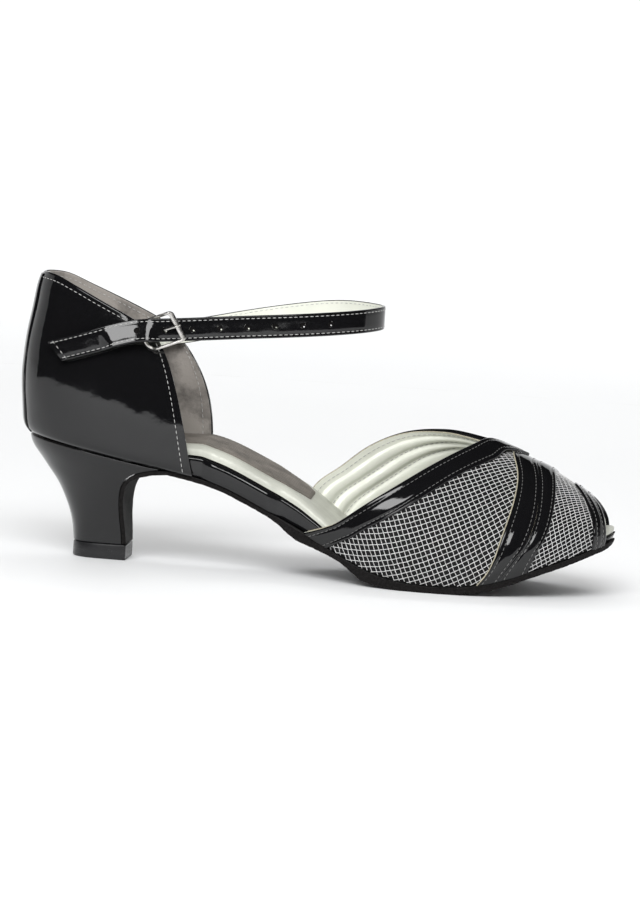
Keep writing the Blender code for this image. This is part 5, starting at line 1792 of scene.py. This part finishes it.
def make_camera():
    """The camera at the photograph's viewing angle, rolled as the photograph is."""
    azimuth, elevation, roll = (radians(v) for v in (CAMERA_AZIMUTH, CAMERA_ELEVATION, CAMERA_ROLL))
    back = Vector((sin(azimuth) * cos(elevation), -cos(azimuth) * cos(elevation), sin(elevation)))
    right = Vector((cos(azimuth), sin(azimuth), 0.0))
    up = back.cross(right)
    turned_right = right * cos(roll) + up * sin(roll)
    turned_up = -right * sin(roll) + up * cos(roll)
    camera = bpy.data.cameras.new("camera")
    camera.sensor_width = SENSOR
    camera.lens = PIXELS_PER_METRE * CAMERA_DISTANCE / IMAGE_HEIGHT * SENSOR
    camera.clip_start, camera.clip_end = 0.05, 30
    made = bpy.data.objects.new("camera", camera)
    turn = Matrix((turned_right, turned_up, back)).transposed().to_4x4()
    place = Vector(ORIGIN) + Vector(CAMERA_TARGET) + back * CAMERA_DISTANCE
    made.matrix_world = Matrix.Translation(place) @ turn
    bpy.context.scene.collection.objects.link(made)
    bpy.context.scene.camera = made


def make_stage():
    """The floor, the lights and the surroundings: pale to the eye, but dark to a reflection except
    for the floor near the shoe and behind it, and the smallest light."""
    floor_mesh("floor_near", 0.0, 1.0, 0.0)
    floor_mesh("floor_behind", 1.0, 6.0, 3.0, 0.0, pi)
    floor_mesh("floor_in_front", 1.0, 6.0, 3.0, pi, pi).visible_glossy = False
    world = bpy.data.worlds.new("studio")
    world.use_nodes = True
    background = world.node_tree.nodes["Background"]
    background.inputs["Color"].default_value = (1.0, 0.985, 0.965, 1)
    background.inputs["Strength"].default_value = 0.64
    world.cycles_visibility.glossy = False
    bpy.context.scene.world = world
    bpy.context.scene.view_settings.view_transform = "Standard"
    soft_light("front_above", (0.1, -1.8, 1.6), (0, 0, 0), 1.6, 0.9, 45).visible_glossy = False
    soft_light("backdrop_wash", (0, 2.2, 2.6), (0, 3.4, 0.4), 3.5, 1.4, 74).visible_glossy = False
    soft_light("strap_shine", (-0.29, -1.68, 1.0), (-0.065, -0.03, 0.09), 1.1, 0.5, 14)


# Operators, panel and registration
class SHOE_OT_sole(bpy.types.Operator):
    """Make the suede sole."""
    bl_idname = "shoe.sole"
    bl_label = "Sole"
    bl_options = {"REGISTER", "UNDO"}

    def execute(self, context):
        make_sole()
        return {"FINISHED"}


class SHOE_OT_heel(bpy.types.Operator):
    """Make the heel block and its top lift."""
    bl_idname = "shoe.heel"
    bl_label = "Heel and top lift"
    bl_options = {"REGISTER", "UNDO"}

    def execute(self, context):
        make_heel_block()
        make_lift()
        return {"FINISHED"}


class SHOE_OT_footbed(bpy.types.Operator):
    """Make the wrapped insole board, the padded sock and its patch."""
    bl_idname = "shoe.footbed"
    bl_label = "Footbed"
    bl_options = {"REGISTER", "UNDO"}

    def execute(self, context):
        make_board()
        make_sock_pad()
        make_patch()
        return {"FINISHED"}


class SHOE_OT_counter(bpy.types.Operator):
    """Make the patent counter, its lining and the strip over its back seam."""
    bl_idname = "shoe.counter"
    bl_label = "Counter"
    bl_options = {"REGISTER", "UNDO"}

    def execute(self, context):
        make_counter_shell()
        make_back_cover()
        return {"FINISHED"}


class SHOE_OT_vamp(bpy.types.Operator):
    """Make the vamp's ground cloth and its folded lining."""
    bl_idname = "shoe.vamp"
    bl_label = "Vamp"
    bl_options = {"REGISTER", "UNDO"}

    def execute(self, context):
        make_vamp_shell()
        return {"FINISHED"}


class SHOE_OT_threads(bpy.types.Operator):
    """Weave the silver threads of the mesh."""
    bl_idname = "shoe.threads"
    bl_label = "Mesh threads"
    bl_options = {"REGISTER", "UNDO"}

    def execute(self, context):
        make_threads()
        return {"FINISHED"}


class SHOE_OT_bands(bpy.types.Operator):
    """Make the bands on the vamp, their cut edges and their stitches."""
    bl_idname = "shoe.bands"
    bl_label = "Patent bands"
    bl_options = {"REGISTER", "UNDO"}

    def execute(self, context):
        make_patent_bands()
        return {"FINISHED"}


class SHOE_OT_strap(bpy.types.Operator):
    """Make the ankle strap with its lining, holes and stitches."""
    bl_idname = "shoe.strap"
    bl_label = "Ankle strap"
    bl_options = {"REGISTER", "UNDO"}

    def execute(self, context):
        make_ankle_strap()
        return {"FINISHED"}


class SHOE_OT_buckle(bpy.types.Operator):
    """Make the buckle, its prong and its tab."""
    bl_idname = "shoe.buckle"
    bl_label = "Buckle"
    bl_options = {"REGISTER", "UNDO"}

    def execute(self, context):
        make_buckle_pieces()
        return {"FINISHED"}


class SHOE_OT_counter_stitches(bpy.types.Operator):
    """Sew the rows along the counter's edges."""
    bl_idname = "shoe.counter_stitches"
    bl_label = "Counter stitches"
    bl_options = {"REGISTER", "UNDO"}

    def execute(self, context):
        make_counter_stitches()
        return {"FINISHED"}


class SHOE_OT_stage(bpy.types.Operator):
    """Make the floor, the lights and the camera."""
    bl_idname = "shoe.stage"
    bl_label = "Stage"
    bl_options = {"REGISTER", "UNDO"}

    def execute(self, context):
        make_stage()
        make_camera()
        return {"FINISHED"}


STEPS = (
    SHOE_OT_sole,
    SHOE_OT_heel,
    SHOE_OT_footbed,
    SHOE_OT_counter,
    SHOE_OT_vamp,
    SHOE_OT_threads,
    SHOE_OT_bands,
    SHOE_OT_strap,
    SHOE_OT_buckle,
    SHOE_OT_counter_stitches,
    SHOE_OT_stage,
)


class SHOE_PT_looks(bpy.types.Panel):
    """Lists the shoe's sizes, its colours and the steps that make it."""
    bl_label = "Ballroom shoe"
    bl_space_type = "VIEW_3D"
    bl_region_type = "UI"
    bl_category = "Shoe"

    def draw(self, context):
        for group in (sizes(), colours()):
            box = self.layout.box()
            for name in group.bl_rna.properties.keys():
                if name not in ("rna_type", "name"):
                    box.prop(group, name)
        for step in STEPS:
            self.layout.operator(step.bl_idname)


CLASSES = (ShoeSizes, ShoeColours, *STEPS, SHOE_PT_looks)


def register():
    for item in CLASSES:
        bpy.utils.register_class(item)
    bpy.types.Scene.shoe_sizes = bpy.props.PointerProperty(type=ShoeSizes)
    bpy.types.Scene.shoe_colours = bpy.props.PointerProperty(type=ShoeColours)


def unregister():
    del bpy.types.Scene.shoe_colours
    del bpy.types.Scene.shoe_sizes
    for item in reversed(CLASSES):
        bpy.utils.unregister_class(item)


def main():
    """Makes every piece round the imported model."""
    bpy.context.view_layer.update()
    register()
    for step in STEPS:
        getattr(bpy.ops.shoe, step.bl_idname.split(".")[1])()


if __name__ == "__main__":
    main()
